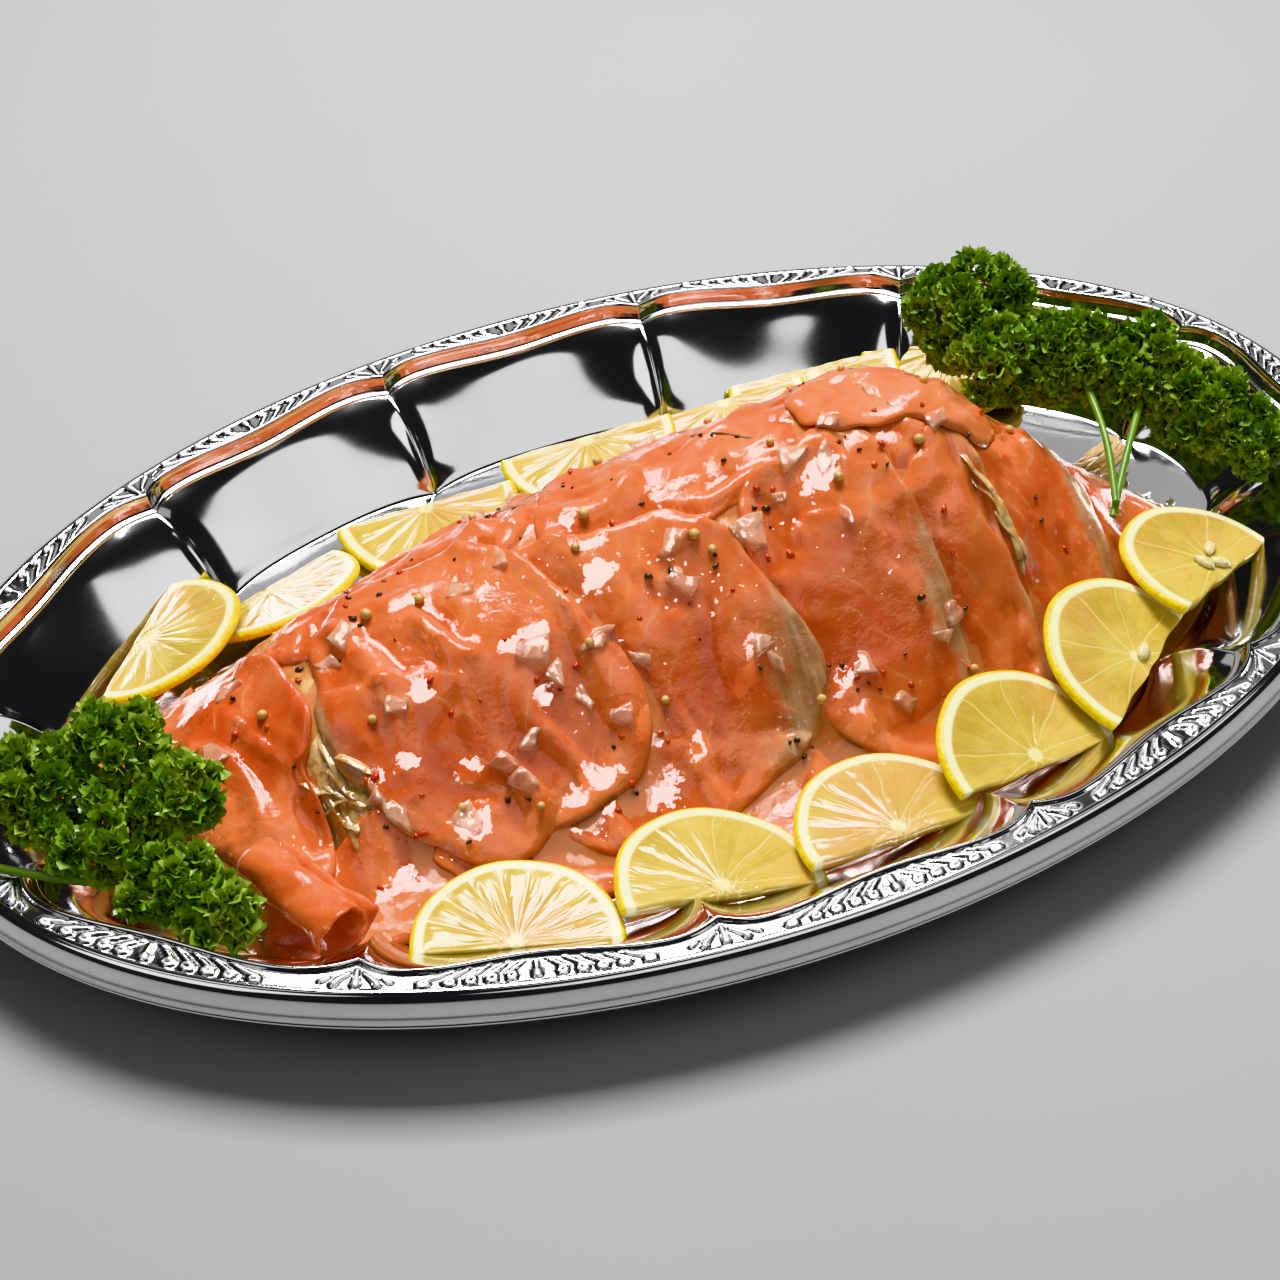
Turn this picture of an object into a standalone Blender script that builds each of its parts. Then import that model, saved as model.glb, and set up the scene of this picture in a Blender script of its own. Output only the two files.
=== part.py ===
"""Dressed smoked salmon on an oval steel serving tray, with lemon slices and curly parsley.

The origin is the centre of the tray's base, on the table. X runs along the tray's length,
-Y is the side shown to the front and Z points up. Sizes are in millimetres here and become
metres when a mesh is made.
"""
import math
import random

import bmesh
import bpy
import numpy as np
from mathutils import Matrix, Vector, noise
from mathutils.bvhtree import BVHTree

MM = 0.001
AIR = 0.5

# Leans in degrees that are tried when a flat thing is laid down: about its length, then across.
# The slices at the front lean only with their arc raised.
LEANS = range(-20, 25, 2)
FRONT_LEANS = range(0, 25, 2)
ROLLS = range(-12, 13, 2)

# Tray: a stamped oval with twelve panels, an embossed band and a turned-down edge
TRAY_HALF_LENGTH = 250.0
TRAY_HALF_WIDTH = 160.3
RIM_HEIGHT = 33.0
SHEET = 1.4
SKIRT_DROP = 12.6
EDGE_LINE = 4.3
BAND_NARROW = 11.0
BAND_BOW = 3.4
BAND_POINT = 4.2
BAND_SHOULDER = 0.72
BEAD_RISE = 1.1
STEP_RUN = 2.2
STEP_DROP = 5.0
FOOT_AT_PANEL = 45.0
FOOT_AT_CREASE = 48.0
QUARTER_CUSPS = (17.0, 52.0, 77.75)
PANEL_STEPS = (-1.0, -0.72, -0.36, 0.0, 0.36, 0.72)
WALL_STEPS = (0.12, 0.3, 0.5, 0.74, 1.0)

# Salmon mound: its ridge from the left end to the right end, then its two feet
MOUND_X = (-188.0, -165.0, -124.0, -84.0, -20.0, 40.0, 82.0, 110.0, 155.0, 190.0)
MOUND_TOP = (9.0, 28.0, 48.0, 60.0, 70.0, 77.0, 86.0, 64.0, 25.0, 4.0)
MOUND_RIDGE = (6.0, 4.0, 4.0, 6.0, 8.0, 6.0, 0.0, -8.0, -20.0, -30.0)
MOUND_FRONT = (-50.0, -78.0, -85.0, -80.0, -80.0, -87.0, -82.0, -70.0, -50.0, -38.0)
MOUND_BACK = (34.0, 40.0, 47.0, 55.0, 61.0, 62.0, 57.0, 49.0, 22.0, -14.0)
LATTICE = 12.0
LATTICE_X = (-228.0, 228.0)
LATTICE_Y = (-120.0, 96.0)
MOUND_ROUNDNESS = 1.05
BED_EDGE = 3.0
BED_LEAST = 1.5
SHRED_RIPPLE = 0.7
SLICE_THICK = 2.2
LAYER = 3.6
SAG = 3.0
DRAPE_PASSES = 3
STEEPEST = 1.6

# A slice's outline: a rounded rectangle with a bent length and two waves round its edge
SLICE_CORNER = 2.7
SLICE_BEND = 0.16
SLICE_WAVES = ((3, 0.07, 1.9), (5, 0.04, 1.0))

# Salmon slices from the first laid to the last: name, centre x and y, length and width seen
# from above, and the compass heading of the length in degrees
SLICES = (
    ("back_left", -96.0, 26.0, 112.0, 62.0, 8.0),
    ("back_right", 92.0, 20.0, 108.0, 66.0, -16.0),
    ("back_mid", 0.0, 30.0, 122.0, 62.0, -2.0),
    ("foot_right", 140.0, -52.0, 84.0, 36.0, 34.0),
    ("foot_front_right", 56.0, -85.0, 104.0, 36.0, 6.0),
    ("foot_front_left", -128.0, -76.0, 88.0, 36.0, 8.0),
    ("foot_front_mid", -44.0, -82.0, 122.0, 38.0, -4.0),
    ("tip_left", -181.0, 24.0, 62.0, 34.0, 62.0),
    ("ridge_left", -64.0, 4.0, 106.0, 60.0, 14.0),
    ("end_right", 150.0, -30.0, 64.0, 52.0, -70.0),
    ("ridge_right", 66.0, -6.0, 92.0, 66.0, -12.0),
    ("ridge_mid", 4.0, 2.0, 104.0, 56.0, 6.0),
    ("drape_far_right", 114.0, -36.0, 88.0, 48.0, -78.0),
    ("drape_right", 82.0, -56.0, 66.0, 42.0, -80.0),
    ("drape_flap", 46.0, -50.0, 88.0, 56.0, -76.0),
    ("drape_big", -30.0, -48.0, 82.0, 100.0, -86.0),
    ("shoulder_left", -86.0, -34.0, 92.0, 84.0, -80.0),
    ("end_left", -156.0, -22.0, 88.0, 48.0, -76.0),
    ("peak", 78.0, 0.0, 66.0, 42.0, -14.0),
)
ROLL_CENTRE = (-153.0, -76.0)
ROLL_HEADING = -70.0
ROLL_LENGTH = 42.0
ROLL_RADIUS = 11.0
ROLL_TURNS = 1.2
ROLL_INNER = 0.48
ROLL_FLAT = 0.8
ROLL_NARROW = 0.9

# Lemon half slices in the order they are laid: centre of the cut edge, heading of the arc,
# radius, and how far the cut lies past the centre
LEMON_THICK = 4.2
LEMONS = (
    (154.0, 88.0, -112.0, 31.5, 2.0),
    (104.0, 98.0, -104.0, 32.5, 3.0),
    (66.0, 98.0, -98.0, 32.0, 1.0),
    (12.0, 101.0, -98.0, 33.0, 2.0),
    (-54.0, 93.0, -96.0, 33.0, 2.0),
    (-118.0, 73.0, -68.0, 32.0, 4.0),
    (-162.0, 62.0, -36.0, 32.0, 5.0),
    (-101.0, -112.0, 70.0, 31.5, 2.0),
    (-39.0, -119.0, 82.0, 32.5, 4.0),
    (19.0, -121.0, 90.0, 32.0, 4.0),
    (70.0, -113.0, 96.0, 32.5, 4.0),
    (121.0, -90.0, 126.0, 32.0, 6.0),
    (168.0, -65.0, 116.0, 32.0, 6.0),
)

# Parsley lobes: centre x, y, z and the three radii
PARSLEY_RIGHT = (
    (147.0, 62.0, 50.0, 22.0, 21.0, 22.0),
    (142.0, 32.0, 50.0, 20.0, 17.0, 14.0),
    (166.0, 26.0, 48.0, 20.0, 18.0, 16.0),
    (188.0, 10.0, 44.0, 19.0, 18.0, 17.0),
    (198.0, -12.0, 40.0, 17.0, 18.0, 16.0),
    (206.0, -30.0, 36.0, 12.0, 13.0, 13.0),
)
PARSLEY_LEFT = (
    (-214.0, -20.0, 44.0, 19.0, 19.0, 13.0),
    (-190.0, -18.0, 47.0, 19.0, 17.0, 12.0),
    (-177.0, -40.0, 44.0, 13.0, 14.0, 10.0),
    (-202.0, -44.0, 40.0, 18.0, 16.0, 11.0),
    (-188.0, -64.0, 35.0, 16.0, 12.0, 9.0),
    (-178.0, -80.0, 33.0, 12.0, 12.0, 9.0),
)
STEMS_RIGHT = (
    ((146.0, -38.0, 30.0), (162.0, -20.0, 38.0), (184.0, 4.0, 44.0)),
    ((148.0, -36.0, 34.0), (158.0, -12.0, 42.0), (166.0, 18.0, 48.0)),
)
STEMS_LEFT = (
    ((-232.0, -38.0, 36.0), (-212.0, -52.0, 35.0), (-190.0, -64.0, 35.0)),
)
STEM_RADIUS = 1.4
LOBE_LUMPS = 0.35
LOBE_CORE = 0.9
LEAVES_PER_LOBE = 4
LEAF_POINTS = 7
LEAF_RADIUS = 7.0
LEAF_RUFFLE = 1.6
LEAF_THICK = 1.2
LEAF_ROOT = 0.93
LEAF_LOWEST = -0.25

# Onion shreds that show where no salmon lies: centre x and y, and heading
SHREDS = (
    (-132.0, -40.0, -70.0), (-129.0, -52.0, -40.0), (-135.0, -55.0, -95.0),
    (-130.0, -46.0, 10.0), (156.0, 4.0, 20.0), (166.0, -4.0, -50.0),
    (148.0, 14.0, 60.0), (160.0, 10.0, -20.0),
)
SHRED_LENGTH = 20.0
SHRED_BEND = 0.15
SHRED_RADIUS = 1.5

# Toppings that show from a step away: kind, x and y
TOPPINGS = (
    ("onion", -81.0, -57.0), ("onion", 6.0, -58.0), ("onion", -60.0, -33.0),
    ("onion", 34.0, -68.0), ("onion", -41.0, -30.0), ("onion", -112.0, -35.0),
    ("onion", 13.0, -22.0), ("onion", 57.0, -24.0), ("onion", -84.0, -50.0),
    ("ball", -145.0, -17.0), ("ball", -116.0, -30.0), ("ball", 84.0, -2.0),
    ("ball", 76.0, -22.0), ("ball", 47.0, -22.0), ("ball", 23.0, -26.0),
    ("ball", -5.0, -28.0), ("ball", -29.0, -2.0), ("ball", 44.0, -80.0),
)
TOPPING_SIZE = {"onion": (3.6, 2.8, 1.5), "ball": (2.0, 2.0, 2.0)}
TOPPING_SUNK = 0.4

COLOURS = {
    "steel": ((0.78, 0.78, 0.80), 0.12, 1.0),
    "onion": ((0.86, 0.80, 0.60), 0.35, 0.0),
    "salmon": ((0.89, 0.34, 0.20), 0.28, 0.0),
    "lemon": ((0.93, 0.80, 0.16), 0.35, 0.0),
    "parsley": ((0.10, 0.30, 0.04), 0.50, 0.0),
}


def remove_startup_objects():
    """Empty the scene that Blender opens with."""
    for item in list(bpy.data.objects):
        bpy.data.objects.remove(item, do_unlink=True)


def material(name):
    """The Principled material of one kind of food or metal."""
    made = bpy.data.materials.get(name)
    if made is None:
        colour, rough, metal = COLOURS[name]
        made = bpy.data.materials.new(name)
        made.use_nodes = True
        made.diffuse_color = (*colour, 1.0)
        shader = made.node_tree.nodes["Principled BSDF"]
        shader.inputs["Base Color"].default_value = (*colour, 1.0)
        shader.inputs["Roughness"].default_value = rough
        shader.inputs["Metallic"].default_value = metal
    return made


def solid(name, points, faces, kind):
    """A closed object in the scene, from points in millimetres."""
    mesh = bpy.data.meshes.new(name)
    mesh.from_pydata([tuple(c * MM for c in p) for p in points], [], faces)
    work = bmesh.new()
    work.from_mesh(mesh)
    bmesh.ops.remove_doubles(work, verts=work.verts, dist=1e-6)
    bmesh.ops.triangulate(work, faces=work.faces)
    bmesh.ops.recalc_face_normals(work, faces=work.faces)
    work.to_mesh(mesh)
    work.free()
    mesh.shade_smooth()
    mesh.set_sharp_from_angle(angle=math.radians(50.0))
    item = bpy.data.objects.new(name, mesh)
    item.data.materials.append(material(kind))
    bpy.context.scene.collection.objects.link(item)
    return item


def surface_of(*items):
    """A tree for ray casts on the objects' meshes, in millimetres."""
    points = []
    faces = []
    for item in items:
        start = len(points)
        points += [item.matrix_world @ v.co / MM for v in item.data.vertices]
        faces += [[start + i for i in poly.vertices] for poly in item.data.polygons]
    return BVHTree.FromPolygons(points, faces)


def height_of(tree, x, y, missing=0.0):
    """Height of the tree's highest surface at a place in plan."""
    hit = tree.ray_cast(Vector((x, y, 300.0)), Vector((0.0, 0.0, -1.0)))
    return missing if hit[0] is None else hit[0].z


def ellipse_point(angle, inward):
    """Point at a distance inside the tray's outline, at a parameter angle in radians."""
    x = TRAY_HALF_LENGTH * math.cos(angle)
    y = TRAY_HALF_WIDTH * math.sin(angle)
    normal = Vector((x / TRAY_HALF_LENGTH ** 2, y / TRAY_HALF_WIDTH ** 2)).normalized()
    return x - normal.x * inward, y - normal.y * inward


def panel_places():
    """Parameter angle and place from -1 to 1 for each section round the tray's panels."""
    quarters = [
        side + sign * cusp
        for side, sign in ((0.0, 1), (180.0, -1), (180.0, 1), (360.0, -1))
        for cusp in QUARTER_CUSPS
    ]
    cusps = sorted(quarters)
    places = []
    for first, second in zip(cusps, cusps[1:] + [cusps[0] + 360.0]):
        middle = (first + second) / 2
        half = (second - first) / 2
        places += [(math.radians(middle + s * half), s) for s in PANEL_STEPS]
    return places


def band_depth(s):
    """Distance from the tray's edge to the bead, a bracket shape from cusp to cusp."""
    reach = abs(s)
    bow = BAND_BOW * math.cos(math.pi / 2 * min(reach / BAND_SHOULDER, 1.0)) ** 2
    point = max(reach - BAND_SHOULDER, 0.0) / (1.0 - BAND_SHOULDER)
    return BAND_NARROW + bow + BAND_POINT * point ** 2


def tray_profile(s):
    """Section of the tray's upper face: distance in from the edge, height over the rim."""
    bead = band_depth(s)
    crease = abs(s) ** 3
    start = bead + STEP_RUN
    foot = FOOT_AT_PANEL + (FOOT_AT_CREASE - FOOT_AT_PANEL) * crease
    drop = RIM_HEIGHT - SHEET - STEP_DROP
    round_share = 0.72 - 0.22 * crease
    points = [(0.0, -SKIRT_DROP), (1.2, -2.8), (EDGE_LINE, 0.0), (bead - 2.0, 0.0)]
    points += [(bead - 0.6, BEAD_RISE), (start, -STEP_DROP)]
    for w in WALL_STEPS:
        fall = (1.0 - round_share) * w + round_share * math.sqrt(1.0 - (1.0 - w) ** 2)
        points.append((start + (foot - start) * w, -STEP_DROP - drop * fall))
    return points


def offset_profile(points, distance):
    """The profile moved to the underside of the sheet."""
    moved = []
    for i, (d, z) in enumerate(points):
        before = Vector(points[max(i - 1, 0)])
        after = Vector(points[min(i + 1, len(points) - 1)])
        here = Vector((d, z))
        first = (here - before).normalized() if i else (after - here).normalized()
        second = (after - here).normalized() if i < len(points) - 1 else Vector((1.0, 0.0))
        along = (first + second).normalized()
        spread = max(along.dot(second), 0.75)
        moved.append((d + along.y * distance / spread, z - along.x * distance / spread))
    return moved


def make_tray():
    """The oval tray as one closed sheet, turned round its outline panel by panel."""
    places = panel_places()
    count = len(places)
    points = []
    for angle, s in places:
        upper = tray_profile(s)
        under = offset_profile(upper, SHEET)
        under = [(d, max(z, -RIM_HEIGHT)) for d, z in under]
        under[-1] = (upper[-1][0], -RIM_HEIGHT)
        section = upper + under[::-1]
        for d, z in section:
            x, y = ellipse_point(angle, d)
            points.append((x, y, RIM_HEIGHT + z))
    ring = len(section)
    faces = []
    for i in range(count):
        here = i * ring
        there = (i + 1) % count * ring
        for j in range(ring):
            k = (j + 1) % ring
            if j != ring // 2 - 1:
                faces.append((here + j, here + k, there + k, there + j))
    top = [i * ring + ring // 2 - 1 for i in range(count)]
    bottom = [i * ring + ring // 2 for i in range(count)]
    for loop, height in ((top, SHEET), (bottom, 0.0)):
        centre = len(points)
        points.append((0.0, 0.0, height))
        faces += [(loop[i], loop[(i + 1) % count], centre) for i in range(count)]
    return solid("tray", points, faces, "steel")


def mound_height(x, y):
    """Height of the dressed mound's surface over the table, zero outside it."""
    if not MOUND_X[0] < x < MOUND_X[-1]:
        return 0.0
    top, ridge, front, back = (
        float(np.interp(x, MOUND_X, row))
        for row in (MOUND_TOP, MOUND_RIDGE, MOUND_FRONT, MOUND_BACK)
    )
    reach = (ridge - y) / (ridge - front) if y < ridge else (y - ridge) / (back - ridge)
    return top * max(1.0 - reach ** 2, 0.0) ** MOUND_ROUNDNESS


def lattice_axes():
    """The places of the lattice lines that all the draped solids share."""
    across = np.arange(LATTICE_X[0], LATTICE_X[1] + 1.0, LATTICE)
    along = np.arange(LATTICE_Y[0], LATTICE_Y[1] + 1.0, LATTICE)
    return across, along


def lattice_values(rule):
    """A rule of x and y worked out on the whole lattice."""
    across, along = lattice_axes()
    return np.array([[rule(x, y) for x in across] for y in along])


def slice_rule(number):
    """Distance inside a slice's uneven outline, in millimetres, as a rule of x and y."""
    _, x0, y0, length, width, heading = SLICES[number]
    turn = math.radians(heading)

    def rule(x, y):
        u = ((x - x0) * math.cos(turn) + (y - y0) * math.sin(turn)) / (length / 2)
        v = (-(x - x0) * math.sin(turn) + (y - y0) * math.cos(turn)) / (width / 2)
        v += SLICE_BEND * math.sin(1.7 * u + number)
        around = math.atan2(v, u)
        wave = sum(
            size * math.sin(times * around + shift * number)
            for times, size, shift in SLICE_WAVES
        )
        reach = (abs(u) ** SLICE_CORNER + abs(v) ** SLICE_CORNER) ** (1 / SLICE_CORNER)
        return (1.0 + wave - reach) * min(length, width) / 2

    return rule


def neighbour_mean(values):
    """Mean of the four neighbours of each lattice point."""
    padded = np.pad(values, 1, mode="edge")
    return (padded[:-2, 1:-1] + padded[2:, 1:-1] + padded[1:-1, :-2] + padded[1:-1, 2:]) / 4


def grown(mask):
    """The mask with every lattice point next to it."""
    padded = np.pad(mask, 1)
    wide = mask.copy()
    for j in range(3):
        for i in range(3):
            wide |= padded[j:j + mask.shape[0], i:i + mask.shape[1]]
    return wide


def slope_factor(values):
    """How much taller than its thickness a sloping layer stands."""
    along, across = np.gradient(values, LATTICE)
    return np.sqrt(1.0 + np.minimum(along ** 2 + across ** 2, STEEPEST))


def clip_corner(corners, inside):
    """The part of one lattice triangle that lies inside an outline, as corner mixes."""
    kept = []
    for a, b in zip(corners, corners[1:] + corners[:1]):
        if inside[a] >= 0.0:
            kept.append((a, a, 0.0))
        if inside[a] * inside[b] < 0.0:
            first, second = sorted((a, b))
            share = inside[first] / (inside[first] - inside[second])
            kept.append((first, second, share))
    return kept


def layer_solid(name, inside, under, over, kind):
    """Closed solid between two lattice surfaces, clipped to an outline."""
    across, along = lattice_axes()
    inside = np.where(np.abs(inside) < 0.16 * LATTICE, 0.0, inside)
    keys = {}
    points = []
    faces = []
    edges = {}

    def corner(mix):
        if mix not in keys:
            (j, i), (n, m), share = mix
            x = across[i] + (across[m] - across[i]) * share
            y = along[j] + (along[n] - along[j]) * share
            keys[mix] = len(points) // 2
            for surface in (under, over):
                low = surface[j, i]
                points.append((x, y, low + (surface[n, m] - low) * share))
        return keys[mix]

    for j in range(len(along) - 1):
        for i in range(len(across) - 1):
            cell = [(j, i), (j, i + 1), (j + 1, i + 1), (j + 1, i)]
            if (i + j) % 2:
                cell = cell[1:] + cell[:1]
            for triangle in ([cell[0], cell[1], cell[2]], [cell[0], cell[2], cell[3]]):
                clipped = clip_corner(triangle, inside)
                ring = [corner(mix) for mix in clipped]
                if len(ring) < 3 or len(set(ring)) < 3:
                    continue
                for k in range(1, len(ring) - 1):
                    faces.append([2 * n + 1 for n in (ring[0], ring[k], ring[k + 1])])
                    faces.append([2 * n for n in (ring[k + 1], ring[k], ring[0])])
                for a, b in zip(ring, ring[1:] + ring[:1]):
                    edges[(a, b)] = True
    for a, b in edges:
        if (b, a) not in edges:
            faces.append([2 * a, 2 * b, 2 * b + 1, 2 * a + 1])
    return solid(name, points, faces, kind)


def lay_slice(number, support):
    """One salmon slice draped on what lies below it; the support rises by the slice."""
    inside = lattice_values(slice_rule(number))
    covered = grown(inside > 0.0)
    resting = support.copy()
    for _ in range(DRAPE_PASSES):
        taut = np.clip(neighbour_mean(resting), support, support + SAG)
        resting = np.where(covered, taut, support)
    under = resting + AIR
    over = under + SLICE_THICK * slope_factor(resting)
    support[covered] = over[covered]
    return layer_solid("salmon_" + SLICES[number][0], inside, under, over, "salmon")


def make_mound(tray):
    """The shredded onion bed and the salmon slices draped over it."""
    floor = surface_of(tray)

    def tray_height(x, y):
        near = [(0.0, 0.0), (4.0, 0.0), (-4.0, 0.0), (0.0, 4.0), (0.0, -4.0)]
        return max(height_of(floor, x + dx, y + dy) for dx, dy in near)

    support = lattice_values(tray_height)
    outlines = [lattice_values(slice_rule(number)) for number in range(len(SLICES))]
    layers = sum(grown(outline > 0.0).astype(float) for outline in outlines)
    surface = lattice_values(mound_height)
    core = surface - LAYER * layers
    inside = np.minimum(core - support - BED_EDGE, 2 * LATTICE)
    across, along = lattice_axes()
    ripple = SHRED_RIPPLE * np.sin(1.3 * across[None, :] + 0.7 * along[:, None])
    over = np.maximum(core + ripple, support + BED_LEAST)
    bed = layer_solid("onion_bed", inside, support + AIR, over, "onion")
    covered = grown(inside > 0.0)
    support = np.where(covered, over, support)
    salmon = [lay_slice(number, support) for number in range(len(SLICES))]
    return bed, salmon


def place(item, spot, heading=0.0, lean=(0.0, 0.0)):
    """Turn and move an object's mesh: leans about its own X and Y, heading, then the spot."""
    turn = Matrix.Rotation(math.radians(heading), 4, "Z")
    tilt = Matrix.Rotation(math.radians(lean[0]), 4, "X")
    roll = Matrix.Rotation(math.radians(lean[1]), 4, "Y")
    item.matrix_world = Matrix.Translation(Vector(spot) * MM) @ turn @ tilt @ roll


def make_roll():
    """The slice end that curls up into a short roll at the front left."""
    steps = 16
    points = []
    for along in (-0.5, 0.5):
        for side in (0.0, SLICE_THICK + 0.4):
            for k in range(steps + 1):
                turn = 2 * math.pi * ROLL_TURNS * k / steps
                radius = ROLL_RADIUS * (ROLL_INNER + (1.0 - ROLL_INNER) * k / steps) - side
                radius *= ROLL_NARROW if along < 0 else 1.0
                x = ROLL_LENGTH * along
                points.append((x, radius * math.sin(turn), -ROLL_FLAT * radius * math.cos(turn)))
    row = steps + 1
    faces = []
    for k in range(steps):
        for a, b in ((0, row), (row, 3 * row), (3 * row, 2 * row), (2 * row, 0)):
            faces.append((a + k, a + k + 1, b + k + 1, b + k))
    for k in (0, steps):
        faces.append((k, row + k, 3 * row + k, 2 * row + k))
    return solid("salmon_roll", points, faces, "salmon")


def lemon_mesh(name, radius, past):
    """Half a round of lemon: cut edge along X, arc towards +Y."""
    steps = 14
    start = -math.asin(past / radius)
    sweep = math.pi - 2 * start
    arc = [
        (radius * math.cos(start + sweep * k / steps), radius * math.sin(start + sweep * k / steps))
        for k in range(steps + 1)
    ]
    count = len(arc)
    points = [(x, y, z) for z in (0.0, LEMON_THICK) for x, y in arc]
    faces = [tuple(range(count))[::-1], tuple(range(count, 2 * count))]
    faces += [(k, (k + 1) % count, count + (k + 1) % count, count + k) for k in range(count)]
    return solid(name, points, faces, "lemon")


class HeightMap:
    """Heights of everything laid so far, on a fine square lattice in plan."""

    step = 2.0
    reach_x = 246.0
    reach_y = 156.0

    def __init__(self, items):
        self.across = np.arange(-self.reach_x, self.reach_x + 1.0, self.step)
        self.along = np.arange(-self.reach_y, self.reach_y + 1.0, self.step)
        self.height = np.zeros((len(self.along), len(self.across)))
        for item in items:
            self.add(item)

    def add(self, item):
        """Raise the map to an object's upper surface."""
        tree = surface_of(item)
        low, high = bounds(item)
        for j in np.nonzero((self.along > low[1]) & (self.along < high[1]))[0]:
            for i in np.nonzero((self.across > low[0]) & (self.across < high[0]))[0]:
                found = height_of(tree, self.across[i], self.along[j], missing=-1.0)
                self.height[j, i] = max(self.height[j, i], found)

    def widened(self):
        """The map with each place raised to its highest neighbour."""
        padded = np.pad(self.height, 1, mode="edge")
        rows, columns = self.height.shape
        return np.max([padded[j:j + rows, i:i + columns] for j in range(3) for i in range(3)], axis=0)

    def at(self, points, values):
        """Map values at places in plan."""
        i = np.clip(np.round((points[:, 0] + self.reach_x) / self.step).astype(int), 0, None)
        j = np.clip(np.round((points[:, 1] + self.reach_y) / self.step).astype(int), 0, None)
        i = np.minimum(i, len(self.across) - 1)
        j = np.minimum(j, len(self.along) - 1)
        return values[j, i]


def bounds(item):
    """Lowest and highest corner of an object, in millimetres."""
    points = np.array([item.matrix_world @ v.co for v in item.data.vertices]) / MM
    return points.min(axis=0), points.max(axis=0)


def settle(item, centre, heading, samples, heights, tilts=LEANS):
    """Lay a flat thing on the height map with the lean that brings it lowest."""
    values = heights.widened()
    best = None
    for tilt in tilts:
        for roll in ROLLS:
            turn = Matrix.Rotation(math.radians(heading), 3, "Z")
            turn = turn @ Matrix.Rotation(math.radians(tilt), 3, "X")
            turn = np.array(turn @ Matrix.Rotation(math.radians(roll), 3, "Y"))
            moved = samples @ turn.T
            moved[:, :2] += centre
            lift = float(np.max(heights.at(moved, values) - moved[:, 2])) + AIR
            middle = lift + float(np.mean(moved[:, 2]))
            if best is None or middle < best[0]:
                best = (middle, lift, tilt, roll)
    place(item, (centre[0], centre[1], best[1]), heading, best[2:])


def make_lemons(heights):
    """The ring of lemon half slices, each laid over its neighbour."""
    lemons = []
    for number, (x, y, heading, radius, past) in enumerate(LEMONS, start=1):
        item = lemon_mesh("lemon_slice_%02d" % number, radius, past)
        spots = np.arange(-radius, radius + 0.1, 2.0)
        grid = np.array([(a, b, 0.0) for a in spots for b in spots if b > -past])
        rim = np.array([v.co / MM for v in item.data.vertices if v.co.z < MM])
        samples = np.vstack((grid[np.hypot(grid[:, 0], grid[:, 1]) < radius], rim))
        tilts = FRONT_LEANS if y < 0.0 else LEANS
        settle(item, (x, y), heading - 90.0, samples, heights, tilts)
        bpy.context.view_layer.update()
        heights.add(item)
        lemons.append(item)
    return lemons


def lobe_mesh(name, lobe, seed):
    """The lumpy core of one parsley head."""
    work = bmesh.new()
    bmesh.ops.create_icosphere(work, subdivisions=1, radius=1.0)
    for vert in work.verts:
        lump = 1.0 + LOBE_LUMPS * noise.noise(2.2 * vert.co + Vector((3.1 * seed, 0.0, 0.0)))
        vert.co = Vector([c * r * lump * LOBE_CORE * MM for c, r in zip(vert.co, lobe[3:])])
        vert.co += Vector(lobe[:3]) * MM
    mesh = bpy.data.meshes.new(name)
    work.to_mesh(mesh)
    work.free()
    item = bpy.data.objects.new(name, mesh)
    mesh.materials.append(material("parsley"))
    bpy.context.scene.collection.objects.link(item)
    return item


def leaf_points(draw, lobe):
    """A thin ruffled leaf that stands out of a lobe, and its faces."""
    height = draw.uniform(LEAF_LOWEST, 1.0)
    around = draw.uniform(0.0, 2 * math.pi)
    flat = math.sqrt(max(1.0 - height ** 2, 0.0))
    outward = Vector((flat * math.cos(around), flat * math.sin(around), height))
    spot = Vector([c + LEAF_ROOT * r * n for c, r, n in zip(lobe[:3], lobe[3:], outward)])
    turn = outward.to_track_quat("Y", "Z").to_matrix()
    turn = turn @ Matrix.Rotation(draw.uniform(0.0, math.pi), 3, "Y")
    middle_and_edge = [Vector()]
    for k in range(LEAF_POINTS):
        angle = 2 * math.pi * k / LEAF_POINTS
        reach = LEAF_RADIUS * draw.uniform(0.8, 1.1)
        ruffle = LEAF_RUFFLE * (-1) ** k
        middle_and_edge.append(Vector((reach * math.cos(angle), reach * math.sin(angle), ruffle)))
    points = []
    for side in (-LEAF_THICK / 2, LEAF_THICK / 2):
        points += [spot + turn @ (p + Vector((0.0, 0.0, side))) for p in middle_and_edge]
    upper = LEAF_POINTS + 1
    faces = []
    for k in range(LEAF_POINTS):
        here = 1 + k
        after = 1 + (k + 1) % LEAF_POINTS
        faces.append((0, after, here))
        faces.append((upper, upper + here, upper + after))
        faces.append((here, after, upper + after, upper + here))
    return points, faces


def tube_points(path, radius, sides):
    """A stem or shred along a few places, and its faces."""
    path = [Vector(p) for p in path]
    points = []
    for i, spot in enumerate(path):
        along = (path[min(i + 1, len(path) - 1)] - path[max(i - 1, 0)]).normalized()
        turn = along.to_track_quat("Z", "Y").to_matrix()
        for k in range(sides):
            angle = 2 * math.pi * k / sides
            points.append(spot + turn @ Vector((math.cos(angle), math.sin(angle), 0.0)) * radius)
    faces = [tuple(range(sides))[::-1], tuple(len(points) - sides + k for k in range(sides))]
    for i in range(len(path) - 1):
        for k in range(sides):
            n = (k + 1) % sides
            a = i * sides
            faces.append((a + k, a + n, a + sides + n, a + sides + k))
    return points, faces


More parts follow.
